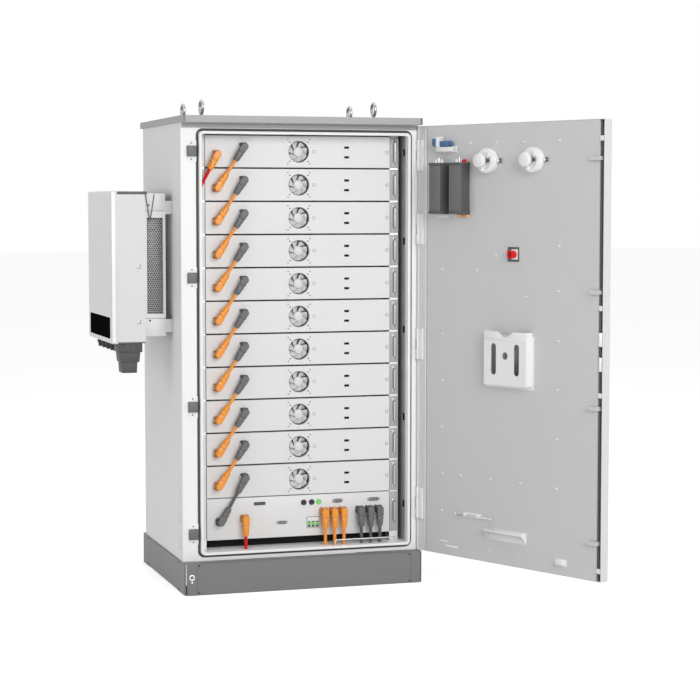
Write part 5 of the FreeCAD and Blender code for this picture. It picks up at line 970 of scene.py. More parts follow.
@dataclass
class Cabinet:
    """The plinth, shell, lid and their small hardware.

    Attributes:
        bolts: places of the plinth's front screws, X and Z.
        side_bolts: places of its left screws, Y and Z.
        keeper_x: left and right edges of a keeper.
        keeper_rise: the keeper's face in front of the pillar.
        keepers: centre heights of the keepers.
        keeper_tall: height of a keeper.
        pillar: the frame's face behind the plinth's front.
        pin: place of the hinge pins.
        hinges: centre heights of the hinges.
        hinge_tall: height of a hinge.
        ring: place of the earth point, X and Z.
        gutter: left, right, lower and upper edge of the gutter.
    """

    bolts: tuple = ((61, 125), (60, 11), (991, 125), (992, 10))
    side_bolts: tuple = ((118, 125), (118, 11), (748, 125), (748, 11))
    keeper_x: Span = (31, 69)
    keeper_rise: float = 14
    keepers: tuple = (250, 788, 1328, 1854)
    keeper_tall: float = 44
    pillar: float = 60
    pin: Span = (1043, 43)
    hinges: tuple = (342, 1033, 1528, 1843)
    hinge_tall: float = 132
    ring: Span = (30, 76)
    gutter: tuple = (69, 1021, 148, 1949)

    def dress(self, shop: Workshop) -> None:
        """Finishes the frame's own nodes.

        Args:
            shop: the workshop that takes the finished pieces.
        """
        # The jamb liners get grey painted as the shade on the jambs.
        shop.dress(wall_panels=Paint.CABINET, front_frame=Paint.FRAME, floor_pan=Paint.FRAME,
                   jamb_liners=Paint.GREY_AND_SHADE,
                   plinth_frame=Paint.PLINTH, plinth_panels=Paint.PLINTH_PANEL, lid=Paint.LID,
                   door_seal=Paint.SEAL,
                   lifting_eyes=Paint.EYE, rack_frame=Paint.STEEL, door_stay=Paint.GRIP)

    def keeper_set(self, shop: Workshop) -> None:
        """Builds the striker brackets, each on its plate.

        Args:
            shop: the workshop that takes the finished pieces.
        """
        strikers, backs = Piece("keepers"), Piece("keeper_plates")
        face = self.pillar - self.keeper_rise
        for height in self.keepers:
            low, high = height - self.keeper_tall / 2, height + self.keeper_tall / 2
            left, right = self.keeper_x
            strikers.plate(Axis.Z,
                           ((left, face), (right, face), (right, self.pillar - 1), (left, self.pillar - 1),
                            (left, self.pillar - 3), (right - 3, self.pillar - 3),
                            (right - 3, face + 3),
                            (left, face + 3)), (low, high), 0.6)
            front = self.pillar - 1.2
            backs.block((left - 3, right + 3), (front, self.pillar), (height - 44, height + 44), 0.8)
            for z in (height - 34, height + 34):
                screw(strikers, Axis.Y, ((left + right) / 2, z), front, -1)
        shop.hang("cabinet", {strikers: Paint.MODULE, backs: Paint.FRAME}, "frame_fittings")

    def hinge_set(self, shop: Workshop) -> None:
        """Builds the frame's hinge leaves with their knuckles and pins.

        Args:
            shop: the workshop that takes the finished pieces.
        """
        leaves, pins = Piece("hinge_leaves"), Piece("hinge_pins")
        x, y = self.pin
        third = self.hinge_tall / 3
        for height in self.hinges:
            low, high = height - self.hinge_tall / 2, height + self.hinge_tall / 2
            leaves.block((x - 18, x - 3.5), (self.pillar - 3, self.pillar), (low, high), 0.7)
            for start, end in ((low, low + third), (high - third, high)):
                leaves.drum(Axis.Z, 6.5, (x, y), (start, end), edge=0.8)
                leaves.block((x - 6.5, x - 3.5), (y, self.pillar), (start, end), 0.5)
            pins.lathe(Axis.Z, (x, y),
                       ((0, low - 2.5), (4.5, low - 2.5), (5, low - 1), (3.4, low), (3.4, high),
                        (5, high + 1), (4.5, high + 2.5), (0, high + 2.5)), 20)
        shop.hang("cabinet", {leaves: Paint.HINGE, pins: Paint.ZINC}, "frame_fittings")

    def small_parts(self, shop: Workshop) -> None:
        """Adds the plinth's screws and the earth point.

        Args:
            shop: the workshop that takes the finished pieces.
        """
        screws, marks = Piece("plinth_screws"), Piece("earth_point")
        for spot in self.bolts:
            screw(screws, Axis.Y, spot, 0, -1, 4)
        for spot in self.side_bolts:
            screw(screws, Axis.X, spot, 0, -1, 4)
        marks.lathe(Axis.Y, self.ring, ((8, -0.2), (10, -0.8), (12, -0.2), (12, 0.4), (8, 0.4), (8, -0.2)),
                    28)
        marks.drum(Axis.Y, 4, (self.ring[0], self.ring[1] - 20), (-2, 1), edge=0.8)
        shop.hang("cabinet", {screws: Paint.BLACK, marks: Paint.ZINC})

    def gutter_set(self, shop: Workshop) -> None:
        """Lines the gutter round the lip with a dark seal ring, whose dark grey is also painted shade of the
        recess, closes its corners, and lays painted shade on the frame's head under the lid.

        Args:
            shop: the workshop that takes the finished pieces.
        """
        liner, corners, head = Piece("gutter_seal_and_shade"), Piece("gutter_corners"), Piece("head_painted_shade")
        left, right, low, high = self.gutter
        sides = (left + 0.2, right - 0.2, low + 0.2, high - 0.2)
        liner.border(sides, 11.4, (self.pillar + 5, self.pillar + 9.8), (26, 15))
        corners.border(sides, 0.5, (self.pillar + 0.2, self.pillar + 9.6), (0.3, 26))
        # A grey plate painted as the lid's shadow on the frame's head.
        head.block((8, 1044), (self.pillar - 0.8, self.pillar - 0.05), (high + 1.5, 1971), 0.3)
        shop.hang("cabinet", {liner: Paint.GUTTER_SEAL_AND_SHADE, corners: Paint.FRAME, head: Paint.SHADE_GREY})

    def build(self, shop: Workshop) -> None:
        """Builds everything on the cabinet itself.

        Args:
            shop: the workshop that takes the finished pieces.
        """
        self.dress(shop)
        self.gutter_set(shop)
        self.keeper_set(shop)
        self.hinge_set(shop)
        self.small_parts(shop)


@dataclass
class PackFronts:
    """The faces of the eleven packs: raised panels, fan plates, sockets, screws and handles.

    Attributes:
        middle: X of the rack's centre.
        face: Y of the packs' front plates.
        first: centre height of the top pack.
        pitch: one pack to the next.
        count: number of packs.
        half: half width and half height of a raised panel.
        rise: how far a panel stands in front of its ears.
        fan_hole: radius of the fan opening.
        fan_plate: half width and half height of the plate round a fan.
        fan_screws: the outer and the inner screws of a fan plate, from its middle, with their radii.
        blades: number of blades on a rotor.
        control: lower and upper edge of the control box front.
        control_half: half height of the marks beside the control box.
        port_x: X of the data sockets.
        ports_z: their heights from a pack's centre line.
        lamp_x: X of the small lamp.
        ear_screw: the right screw from the rack's centre.
        ear: a handle from the rack's centre.
        grip: half length of a handle.
        reach: how far a handle stands out.
    """

    middle: float = 532
    face: float = 125
    first: float = 1856
    pitch: float = 140
    count: int = 11
    half: Span = (408, 66)
    rise: float = 3.5
    fan_hole: float = 44.5
    fan_plate: Span = (57, 63.5)
    fan_screws: tuple = ((48.5, 51.5, 2.6), (40, 40.5, 3.0))
    blades: int = 7
    control: Span = (208, 386)
    control_half: float = 87
    port_x: float = 745
    ports_z: Span = (-22, 19.5)
    lamp_x: float = 600.5
    ear_screw: float = 396
    ear: float = 428.5
    grip: float = 52
    reach: float = 27.5

    def centres(self) -> list[float]:
        """Gives the centre height of every pack, from the top."""
        return [self.first - number * self.pitch for number in range(self.count)]

    def fields(self) -> list[Span]:
        """Gives the centre height and half height of every pack's front and of the control box's."""
        return [(z, self.half[1]) for z in self.centres()] + [(sum(self.control) / 2, self.control_half)]

    def panels(self, shop: Workshop) -> None:
        """Builds the raised panels, their fan plates, the rims round the fans, painted shade rings round the
        lamps and ear screws, and a black plate painted as the shade below the control box.

        Args:
            shop: the workshop that takes the finished pieces.
        """
        panels, plates, rims_and_shade_rings = Piece("pack_panels"), Piece("fan_plates"), Piece("fan_rims_and_shade_rings")
        front = self.face - self.rise
        for z in self.centres():
            panels.pierced((self.middle, z), self.half, self.fan_hole, (front, self.face - SKIN))
            plates.pierced((self.middle, z), self.fan_plate, self.fan_hole - 1, (front - 1.2, front))
            # Dark rings painted as the shade round the lamp and ear screw domes.
            for x in (self.lamp_x, self.middle + self.ear_screw):
                rims_and_shade_rings.lathe(Axis.Y, (x, z),
                           ahead(front, (6.2, -0.2), (6.2, 0.9), (7.4, 0.7), (7.8, -0.2), (6.2, -0.2)), 24)
            hole = self.fan_hole
            rims_and_shade_rings.lathe(Axis.Y, (self.middle, z), ahead(front, (hole - 1, 1.0), (hole, 2.6), (hole + 1.6, 1.2),
                                                       (hole - 1, 1.0)), 56)
        low, high = self.control
        panels.block((self.middle - self.half[0], self.middle + self.half[0]), (front, self.face - SKIN),
                     (low + 1, high - 1), 0.7)
        # A black plate painted as the shade in the gap below the control box.
        shade = Piece("base_painted_shade")
        shade.block((self.middle - 406, self.middle + 406), (170, 172), (172, low - 1), 0.3)
        shop.hang("cabinet", {shade: Paint.SOCKET, panels: Paint.PACK, plates: Paint.PACK,
                              rims_and_shade_rings: Paint.RING_AND_SHADE})

    def rotors(self, shop: Workshop) -> None:
        """Builds every fan's hub and its seven cambered blades, each fan on its own body.

        Args:
            shop: the workshop that takes the finished pieces.
        """
        for number, z in enumerate(self.centres()):
            node = "%02d" % (number + 1)
            rotor = Piece("fan_blades_" + node)
            rotor.lathe(Axis.Y, (self.middle, z),
                        ahead(self.face, (0, -5.2), (17.6, -5.2), (19.4, -6.4), (20, -8),
                              (20, -22), (17, -22), (17, -20), (0, -20)), 48)
            for turn in range(self.blades):
                start = math.radians(-10 + 360 / self.blades * turn)
                rotor.blade((self.middle, self.face + 7, z), 19, 41.5, start, math.radians(44), 13, 1.4)
            shop.hang("fan_" + node, {rotor: Paint.FAN}, "fan_rotor_" + node)

    def ears(self, shop: Workshop) -> None:
        """Builds grey plates painted as the shade on the right ears beside the panels.

        Args:
            shop: the workshop that takes the finished pieces.
        """
        plates = Piece("ear_shade_plates")
        edge = self.middle + self.half[0] + 2.2
        for z, tall in self.fields():
            plates.block((edge, self.middle + 447.5), (self.face - 1.0, self.face - SKIN),
                         (z - tall, z + tall), 0.4)
        shop.hang("cabinet", {plates: Paint.GREY_AND_SHADE})

    def screws(self, shop: Workshop) -> None:
        """Builds the fan screws, the ear screws and black strips painted as the shadow in the gaps beside the
        panels.

        Args:
            shop: the workshop that takes the finished pieces.
        """
        screws, gap_shadows, bright = Piece("fan_screws"), Piece("panel_gap_shadows"), Piece("ear_screws")
        front = self.face - self.rise - 1.2
        for z in self.centres():
            for sx in (-1, 1):
                for sz in (-1, 1):
                    for x, rise, radius in self.fan_screws:
                        screw(screws, Axis.Y, (self.middle + sx * x, z + sz * rise), front, -1, radius)
            bright.lathe(Axis.Y, (self.middle + self.ear_screw, z),
                         ahead(front, (0, 3.6), (3.2, 3.2), (5.2, 0.8), (5.6, -1.2), (0, -1.2)), 24)
        # Black strips painted as the shadow in the gap at each side of a panel.
        for z, tall in self.fields():
            for sx in (-1, 1):
                edge = self.middle + sx * (self.half[0] + 1)
                gap_shadows.block((edge - 1, edge + 1), (self.face - 1.2, self.face - 0.1), (z - tall, z + tall),
                           0.3)
        shop.hang("cabinet", {screws: Paint.DARK, gap_shadows: Paint.BLACK, bright: Paint.WHITE})

    def sockets(self, shop: Workshop) -> None:
        """Builds the data sockets and the small lamps.

        Args:
            shop: the workshop that takes the finished pieces.
        """
        sockets, lamps = Piece("data_sockets"), Piece("pack_lamps")
        front = self.face - self.rise
        for z in self.centres():
            for dz in self.ports_z:
                sockets.tray((self.port_x - 10.5, self.port_x + 10.5), (front - 1.8, front + 2),
                             (z + dz - 4.6, z + dz + 4.6),
                             (0, -1, 0), 1.2, 1.4, 0.2)
            lamps.lathe(Axis.Y, (self.lamp_x, z),
                        ahead(front, (0, 5.4), (2.8, 5.0), (5.2, 3.4), (6.4, 1.0), (6.6, 0), (0, 0)), 28)
        shop.hang("cabinet", {sockets: Paint.SOCKET, lamps: Paint.WHITE})

    def handles(self, shop: Workshop) -> None:
        """Builds the bent grab handles with their feet.

        Args:
            shop: the workshop that takes the finished pieces.
        """
        grips, feet = Piece("pack_handles_bent"), Piece("handle_feet")
        heights = self.centres() + [sum(self.control) / 2]
        for z in heights:
            for sx in (-1, 1):
                x = self.middle + sx * self.ear
                front = self.face - self.reach + 4
                ends = (z - self.grip + 4, z + self.grip - 4)
                grips.tube(((x, self.face, ends[0]), (x, front, ends[0]), (x, front, ends[1]),
                            (x, self.face, ends[1])),
                           4, 9, 14)
                for end in ends:
                    feet.lathe(Axis.Y, (x, end),
                               ahead(self.face, (0, 0), (6.5, 0), (6.5, 1.2), (4.5, 2.4), (0, 2.4)), 20)
        shop.hang("cabinet", {grips: Paint.GRIP, feet: Paint.GRIP}, "pack_handles")

    def build(self, shop: Workshop) -> None:
        """Builds the pack fronts and finishes the packs' own nodes.

        Args:
            shop: the workshop that takes the finished pieces.
        """
        shop.dress(**{"battery_pack_%02d" % (number + 1): Paint.PACK for number in range(self.count)},
                   cell_blocks=Paint.CELLS, fan_frames=Paint.BLACK)
        self.panels(shop)
        self.screws(shop)
        self.rotors(shop)
        self.ears(shop)
        self.sockets(shop)
        self.handles(shop)


@dataclass
class PowerLeads:
    """Elbow plugs and the cables between packs and into the floor.

    Attributes:
        fronts: the packs that they sit on.
        axis_y: Y of the plugs' barrels.
        neck: Y of the plug heads' backs.
        shift: how far the plugs sit right of their sockets' middles.
        positive: X and Z of a positive socket from the pack's centre line.
        negative: X and Z of a negative socket.
        link: X and Z of the link socket.
        feed: X and Z of the socket of the red drop.
        orange_x: X of the orange drops.
        dark_x: X of the dark drops.
        drop_z: Z of both.
        head: radius of a head.
        long: a barrel from its head's axis to its tail.
        cable: a cable's radius.
        lap: how far a cable reaches into a barrel.
        wall: X where the feed lead meets the left liner.
        slope: fall of the feed lead per unit to the left.
        floor: Z where the drops end.
    """

    fronts: PackFronts = field(default_factory=PackFronts)
    axis_y: float = 86
    neck: float = 101
    shift: float = 4
    positive: Span = (165, -13)
    negative: Span = (281, 20)
    link: Span = (173, 289)
    feed: Span = (281, 299)
    orange_x: tuple = (634, 676, 718)
    dark_x: tuple = (797, 839, 881)
    drop_z: float = 314
    head: float = 18
    long: float = 72
    cable: float = 7
    lap: float = 4
    wall: float = 68.5
    slope: float = 1.84
    floor: float = 160

    def plug(self, piece: Piece, latch: Piece, dots: Piece, spot: Span, toward: Vector) -> None:
        """Adds one elbow plug, whose base stands square to the pack while its body turns with the cable.

        Args:
            piece: the piece that takes its shell.
            latch: the piece that takes its base.
            dots: the piece that takes the base's screws.
            spot: X and Z of its socket.
            toward: the direction of its tail, in X and Z.
        """
        angle = math.atan2(toward.y, toward.x)
        base = Matrix.Translation((spot[0] + self.shift, self.axis_y, spot[1]))
        with latch.within(base):
            latch.plate(Axis.Y, ((-16.5, -11), (-11, -16.5), (11, -16.5), (16.5, -11), (16.5, 11), (11, 16.5),
                                 (-11, 16.5), (-16.5, 11)), (9, 35), 1.2)
        with dots.within(base):
            for x in (-11.5, 11.5):
                for z in (-11.5, 11.5):
                    dots.drum(Axis.Y, 2.4, (x, z), (8.2, 10), sides=12)
        with piece.within(base @ Matrix.Rotation(-angle, 4, "Y")):
            half = self.neck - self.axis_y
            head, tail = self.head, self.long
            piece.lathe(Axis.Y, (0, 0),
                        ((0, -half), (head - 6.0, -half), (head - 3.6, -half + 2.0), (head - 3.4, -half + 4),
                         (head - 3.4, half - 5), (head - 5, half - 4), (0, half - 4)), 28)
            piece.block((0, 27), (-half + 0.5, half - 4.5), (-14.3, 14.3), 3.0)
            piece.block((28.2, 44), (-13.6, 12), (-13.4, 13.4), 3.6)
            piece.lathe(Axis.X, (0, 0),
                        ((0, 26), (12.6, 26), (12.6, 66), (11.6, 66.6), (11.0, tail), (9.0, tail + 0.6),
                         (0, tail + 0.6)), 24)
            for side in (-1, 1):
                piece.block((42, 64), (-5, 5), (side * 12.2 - 1.2, side * 12.2 + 1.2), 0.9)
            piece.block((40, 62), (-13.4, -9), (-6.5, 6.5), 1.2)

    def sheath(self, piece: Piece, start: Span, end: Span) -> None:
        """Adds a straight cable between two plugs' tails.

        Args:
            piece: the piece the cable goes into.
            start: one plug's X and Z.
            end: the other's.
        """
        run = Vector((end[0] - start[0], end[1] - start[1]))
        step = run.normalized() * (self.long - self.lap)
        points = [(start[0] + self.shift + step.x, self.axis_y, start[1] + step.y),
                  (end[0] + self.shift - step.x, self.axis_y, end[1] - step.y)]
        piece.tube(points, self.cable, 0, 20)

    def build(self, shop: Workshop) -> None:
        """Builds every plug and cable.

        Args:
            shop: the workshop that takes the finished pieces.
        """
        orange, dark = Piece("orange_plugs"), Piece("dark_plugs")
        latches, seams = Piece("orange_plug_latches"), Piece("dark_plug_latches")
        jumpers, dark_cables, red = Piece("orange_cables"), Piece("dark_cables"), Piece("red_cables")
        dots = Piece("plug_screws")
        centres = self.fronts.centres()
        for number, z in enumerate(centres):
            start = (self.negative[0], z + self.negative[1])
            last = number == len(centres) - 1
            end = self.link if last else (self.positive[0], z - self.fronts.pitch + self.positive[1])
            toward = Vector((end[0] - start[0], end[1] - start[1]))
            self.plug(dark, seams, dots, start, toward)
            self.plug(dark if last else orange, seams if last else latches, dots, end, -toward)
            self.sheath(dark_cables if last else jumpers, start, end)
        top = (self.positive[0], centres[0] + self.positive[1])
        left = Vector((-1, -self.slope)).normalized()
        self.plug(orange, latches, dots, top, left)
        reach = (top[0] - self.wall) / -left.x
        points = [(top[0] + self.shift + left.x * part, self.axis_y, top[1] + left.y * part)
                  for part in (self.long - self.lap, reach)]
        red.tube(points, self.cable, 0, 20)
        down = Vector((0, -1))
        drops = [(*self.feed, orange, latches, red)]
        drops += [(x, self.drop_z, orange, latches, jumpers) for x in self.orange_x]
        drops += [(x, self.drop_z, dark, seams, dark_cables) for x in self.dark_x]
        for x, z, shell, latch, cable in drops:
            self.plug(shell, latch, dots, (x, z), down)
            x += self.shift
            cable.tube([(x, self.axis_y, z - self.long + self.lap), (x, self.axis_y, self.floor)], self.cable,
                       0, 20)
        shop.hang("cabinet", {dots: Paint.BLACK, orange: Paint.ORANGE, dark: Paint.PLUG_DARK,
                              latches: Paint.ORANGE_SHADED,
                              seams: Paint.BASE_DARK}, "power_plugs")
        shop.hang("cabinet", {jumpers: Paint.CABLE_ORANGE, red: Paint.CABLE_RED,
                              dark_cables: Paint.CABLE_DARK},
                  "power_cables")


@dataclass
class ControlPanel:
    """The small sockets, round ports, lamp and breaker on the control box.

    Attributes:
        face: Y of the panel's face.
        ports: X of the round ports.
        button: X of the start button.
        row: Z of the round ports and the button.
        breaker: left, right, lower and upper edge of the breaker.
        poles: number of poles on the breaker.
        axle: Y and Z of the toggles' axle.
        plugs: X, Z, width, height of each data connector, and whether it has a flange with screws.
    """

    face: float = 121.5
    ports: tuple = (551, 587)
    button: float = 619
    row: float = 354
    breaker: tuple = (566, 620, 243, 289)
    poles: int = 3
    axle: Span = (125, 258)
    plugs: tuple = ((355, 358, 50, 13, False), (704, 355, 30, 17, True), (868, 355, 38, 15, True),
                    (454, 272, 32, 13, True))

    def connectors(self, shop: Workshop) -> None:
        """Builds the data connectors with their screws.

        Args:
            shop: the workshop that takes the finished pieces.
        """
        shells, inserts = Piece("connector_shells"), Piece("connector_inserts")
        for x, z, wide, tall, flanged in self.plugs:
            low, high = x - wide / 2, x + wide / 2
            inserts.tray((low, high), (self.face - 4, self.face + 2), (z - tall / 2, z + tall / 2),
                         (0, -1, 0), 1.6, 3.0, 0.5)
            slots = int(wide // 9)
            for number in range(slots):
                middle = low + 4 + (wide - 8) * (number + 0.5) / slots
                inserts.block((middle - 1.6, middle + 1.6), (self.face - 4.2, self.face),
                              (z - tall * 0.28, z + tall * 0.28), 0.3)
            if flanged:
                shells.block((low - 9, high + 9), (self.face - 1.2, self.face + 0.5),
                             (z - tall / 2 + 1, z + tall / 2 - 1), 0.5)
                for side in (low - 5, high + 5):
                    shells.lathe(Axis.Y, (side, z),
                                 ahead(self.face, (0, 3.2), (1.4, 3.2), (1.6, 4.8), (3.2, 4.4), (3.4, 0),
                                       (0, 0)), 6)
        shop.hang("cabinet", {inserts: Paint.DARK, shells: Paint.GREY_AND_SHADE}, "control_fittings")

    def round_ports(self, shop: Workshop) -> None:
        """Builds the two black round ports and the bezel round the start button.

        Args:
            shop: the workshop that takes the finished pieces.
        """
        ports, bezel = Piece("round_ports"), Piece("start_bezel")
        for x in self.ports:
            ports.lathe(Axis.Y, (x, self.row),
                        ahead(self.face, (0, 3), (6, 3), (6.5, 7.5), (9.5, 8), (10.5, 5), (12, 4.5),
                              (12.5, 0), (0, 0)), 28)
        bezel.lathe(Axis.Y, (self.button, self.row),
                    ahead(self.face, (9.2, 0), (9.2, 3), (10.4, 3.6), (12, 2), (12.4, 0), (9.2, 0)), 32)
        shop.hang("cabinet", {ports: Paint.BLACK, bezel: Paint.GREEN_GLOW}, "control_fittings")

    def breaker_body(self, shop: Workshop) -> None:
        """Builds the white three-pole breaker front with its slots, and a dark plate behind it painted as its
        shadow.

        Args:
            shop: the workshop that takes the finished pieces.
        """
        body, marks = Piece("breaker_front"), Piece("breaker_slots")
        rim, keys = Piece("breaker_shadow_rim"), Piece("toggle_caps")
        left, right, low, high = self.breaker
        step = (right - left) / self.poles
        for pole in range(self.poles):
            x = (left + step * pole + 0.4, left + step * (pole + 1) - 0.4)
            body.block(x, (116, 150), (low + 27.5, high - 0.5), 0.8)
            body.block(x, (118.5, 150), (low + 0.5, low + 2.6), 0.5)
            for wall in (x[0], x[1] - 2):
                body.block((wall, wall + 2), (117, 150), (low + 2, low + 28), 0.4)
            middle = (x[0] + x[1]) / 2
            marks.block((middle - 3.4, middle + 3.4), (115.4, 118), (high - 18.2, high - 16), 0.3)
            lever = Matrix.Translation((middle, *self.axle)) @ Matrix.Rotation(math.radians(-30), 4, "X")
            with keys.within(lever):
                keys.plate(Axis.X, ((-5, -4), (-12, -7), (-16, -4), (-16.5, 2.5), (-13, 4), (-5, 4)),
                           (-5.6, 5.6), 1)
        # A dark plate painted as the shadow round the breaker.
        rim.block((left - 1.6, right + 1.6), (self.face - 0.7, self.face), (low - 1.6, high + 1.6), 0.2)
        shop.hang("cabinet", {body: Paint.WHITE, marks: Paint.DARK, rim: Paint.DARK}, "control_fittings")
        shop.hang("breaker_toggle", {keys: Paint.GREEN_GLOW})

    def build(self, shop: Workshop) -> None:
        """Builds the control box front.

        Args:
            shop: the workshop that takes the finished pieces.
        """
        shop.dress(control_box=Paint.PACK, start_button=Paint.GREEN_GLOW, breaker_toggle=Paint.GREEN_GLOW)
        self.connectors(shop)
        self.round_ports(shop)
        self.breaker_body(shop)


@dataclass
class DoorLining:
    """What sits on the inner sheet of the door: studs, strips, brackets, hood and rod.

    Places are distances from the hinge pins and heights off the floor.

    Attributes:
        studs: places of the weld studs.
        free: the inner sheet's free edge.
        strip: the bright strip beside the hinges.
        tall: the door's lower and upper edge.
        guides: centre heights of the lock bars' guides.
        hood: the hood's sides and its lower and upper edge.
        shelf: how far the hood stands out.
        rod: the rod's ends, and its places along Y and Z.
        sill_clear: height below which the door's fittings stay flat, to clear the sill and the stay.
    """

    studs: tuple = ((310, 1888), (463, 1887), (617, 1886), (810, 1887), (811, 1466), (462, 1423), (354, 1358),
                    (150, 1359),
                    (808, 1286), (632, 1257), (152, 1084), (808, 1086), (153, 885), (810, 888), (149, 685),
                    (806, 688),
                    (153, 486), (264, 488), (437, 488), (606, 489), (805, 488), (151, 327), (157, 194),
                    (437, 190), (607, 190))
    free: float = 1014
    strip: Span = (39, 49)
    tall: Span = (137, 1967)
    guides: tuple = (1892, 1225, 880, 180)
    hood: tuple = (427, 642, 237, 286)
    shelf: float = 32
    rod: tuple = (241, 453, 8, 324)
    sill_clear: float = 210

    def stud_set(self, shop: Workshop) -> None:
        """Builds the weld studs, each a small cone on a foot.

        Args:
            shop: the workshop that takes the finished pieces.
        """
        studs = Piece("door_studs")
        for spot in self.studs:
            tip = 10 if spot[1] > self.sill_clear else 1.8
            studs.lathe(Axis.Y, spot,
                        ((0, tip), (2.0, tip), (2.6, tip * 0.9), (3.0, tip * 0.2), (5.4, tip * 0.12),
                         (6.0, -0.4), (0, -0.4)), 16)
        shop.hang("door", {studs: Paint.DOOR_LIT})

    def edges(self, shop: Workshop) -> None:
        """Builds the strips along the hinge side and the lips of the lock channel.

        Args:
            shop: the workshop that takes the finished pieces.
        """
        strips, groove, lips = Piece("hinge_side_strip"), Piece("hinge_side_groove"), Piece("channel_lips")
        low, high = self.tall
        strips.block(self.strip, (-6, -3.6), (low + 4, high - 4), 0.6)
        groove.block((49, 56), (-6, -3.5), (low + 4, high - 4), 0.4)
        lips.block((self.free - 3, self.free), (-12, -SEAT), (low + 5, high - 5), 0.4)
        shop.hang("door", {strips: Paint.FRAME, groove: Paint.DARK, lips: Paint.DOOR_SHADED})

    def hood_set(self, shop: Workshop) -> None:
        """Builds the hood with its gussets, the rod bracket and the small brackets.

        Args:
            shop: the workshop that takes the finished pieces.
        """
        hood, rods, catch = Piece("door_hood"), Piece("door_rod"), Piece("stay_catch")
        left, right, low, high = self.hood
        hood.block((left, right), (-SEAT, 2), (low, high), 0.6)
        hood.block((left, right), (1, self.shelf), (high - 2, high), 0.6)
        hood.block((left, right), (self.shelf - 2, self.shelf), (high - 12, high), 0.6)
        for side in (left, right - 2):
            hood.plate(Axis.X, ((1, high - 1), (self.shelf - 1, high - 1), (self.shelf - 1, high - 11),
                                (1, low + 2)),
                       (side, side + 2), 0.4)
        start, end, y, z = self.rod
        hood.plate(Axis.Y, ((280, z - 10), (386, z - 10), (386, z + 10), (280, z + 10)), (-SEAT, 2), 0.6)
        for side in (290, 366):
            hood.block((side, side + 12), (1, 14), (z - 6, z + 6), 0.8)
        rods.tube(((start, y, z), (end, y, z)), 4, 0, 16)
        for tip in (start, end):
            rods.drum(Axis.X, 6, (y, z), (tip - 3, tip + 3), sides=6, edge=0.6)
        catch.block((801, 863), (-SEAT, 3), (177, 205), 0.8)
        catch.block((812, 852), (2, 14), (181, 201), 2)
        catch.block((138, 181), (-SEAT, 1.8), (190, 198), 0.5)
        catch.block((169, 247), (-SEAT, 1.6), (172, 181), 0.5)
        shop.hang("door", {hood: Paint.WHITE, rods: Paint.CHROME, catch: Paint.WHITE}, "door_brackets")

    def surge_device(self, shop: Workshop) -> None:
        """Builds the blue device on its white bracket near the top.

        Args:
            shop: the workshop that takes the finished pieces.
        """
        bracket, device, clamp = Piece("device_bracket"), Piece("blue_device"), Piece("device_clamp")
        bracket.block((133, 235), (-SEAT, 2), (1850, 1878), 0.6)
        bracket.block((133, 235), (1, 26), (1853, 1856), 0.6)
        bracket.block((133, 235), (24, 26), (1853, 1874), 0.6)
        device.block((120, 205), (2, 24), (1876, 1900), 2)
        device.block((113, 136), (2, 30), (1878, 1910), 3)
        device.lathe(Axis.X, (13, 1888), ((0, 204), (7, 204), (8, 208), (8, 216), (5, 218), (0, 218)), 20)
        clamp.block((137, 152), (0, 32), (1874, 1914), 1.5)
        clamp.block((126, 158), (4, 26), (1910, 1918), 1.5)
        shop.hang("door", {bracket: Paint.WHITE, device: Paint.BLUE, clamp: Paint.WHITE}, "door_brackets")

    def lock_parts(self, shop: Workshop) -> None:
        """Builds the guides and covers that show in the lock channel, and dark strips painted as the
        channel's shade.

        Args:
            shop: the workshop that takes the finished pieces.
        """
        guides, cases, dark = Piece("bar_guides"), Piece("lock_case"), Piece("lock_channel_shade")
        for z in self.guides:
            guides.block((1017, 1037), (-12, -1), (z - 10, z + 10), 1.2)
        cases.block((1016, 1038), (-14, -1.5), (1074, 1129), 1)
        cases.block((1018, 1036), (-14, -2), (975, 1031), 1.5)
        # Dark blocks painted as the shade deep in the lock channel.
        dark.block((1016, 1040), (-38, -22), (142, 1962), 0.5)
        for sides in ((1015.5, 1024.5), (1031, 1040.5)):
            dark.block(sides, (-11, -9), (146, 1958), 0.3)
        shop.hang("door", {guides: Paint.WHITE, cases: Paint.ZINC, dark: Paint.DARK}, "door_brackets")

    def build(self, shop: Workshop) -> None:
        """Builds the door's lining and finishes its sheets.

        Args:
            shop: the workshop that takes the finished pieces.
        """
        shop.dress(door_outer_panel=Paint.DOOR_LIT, door_inner_panel=Paint.DOOR_SHADED, door_hinges=Paint.HINGE,
                   lock_bar_upper=Paint.DOOR_SHADED, lock_bar_lower=Paint.DOOR_SHADED, door_handle=Paint.BLACK)
        self.stud_set(shop)
        self.edges(shop)
        self.hood_set(shop)
        self.surge_device(shop)
        self.lock_parts(shop)


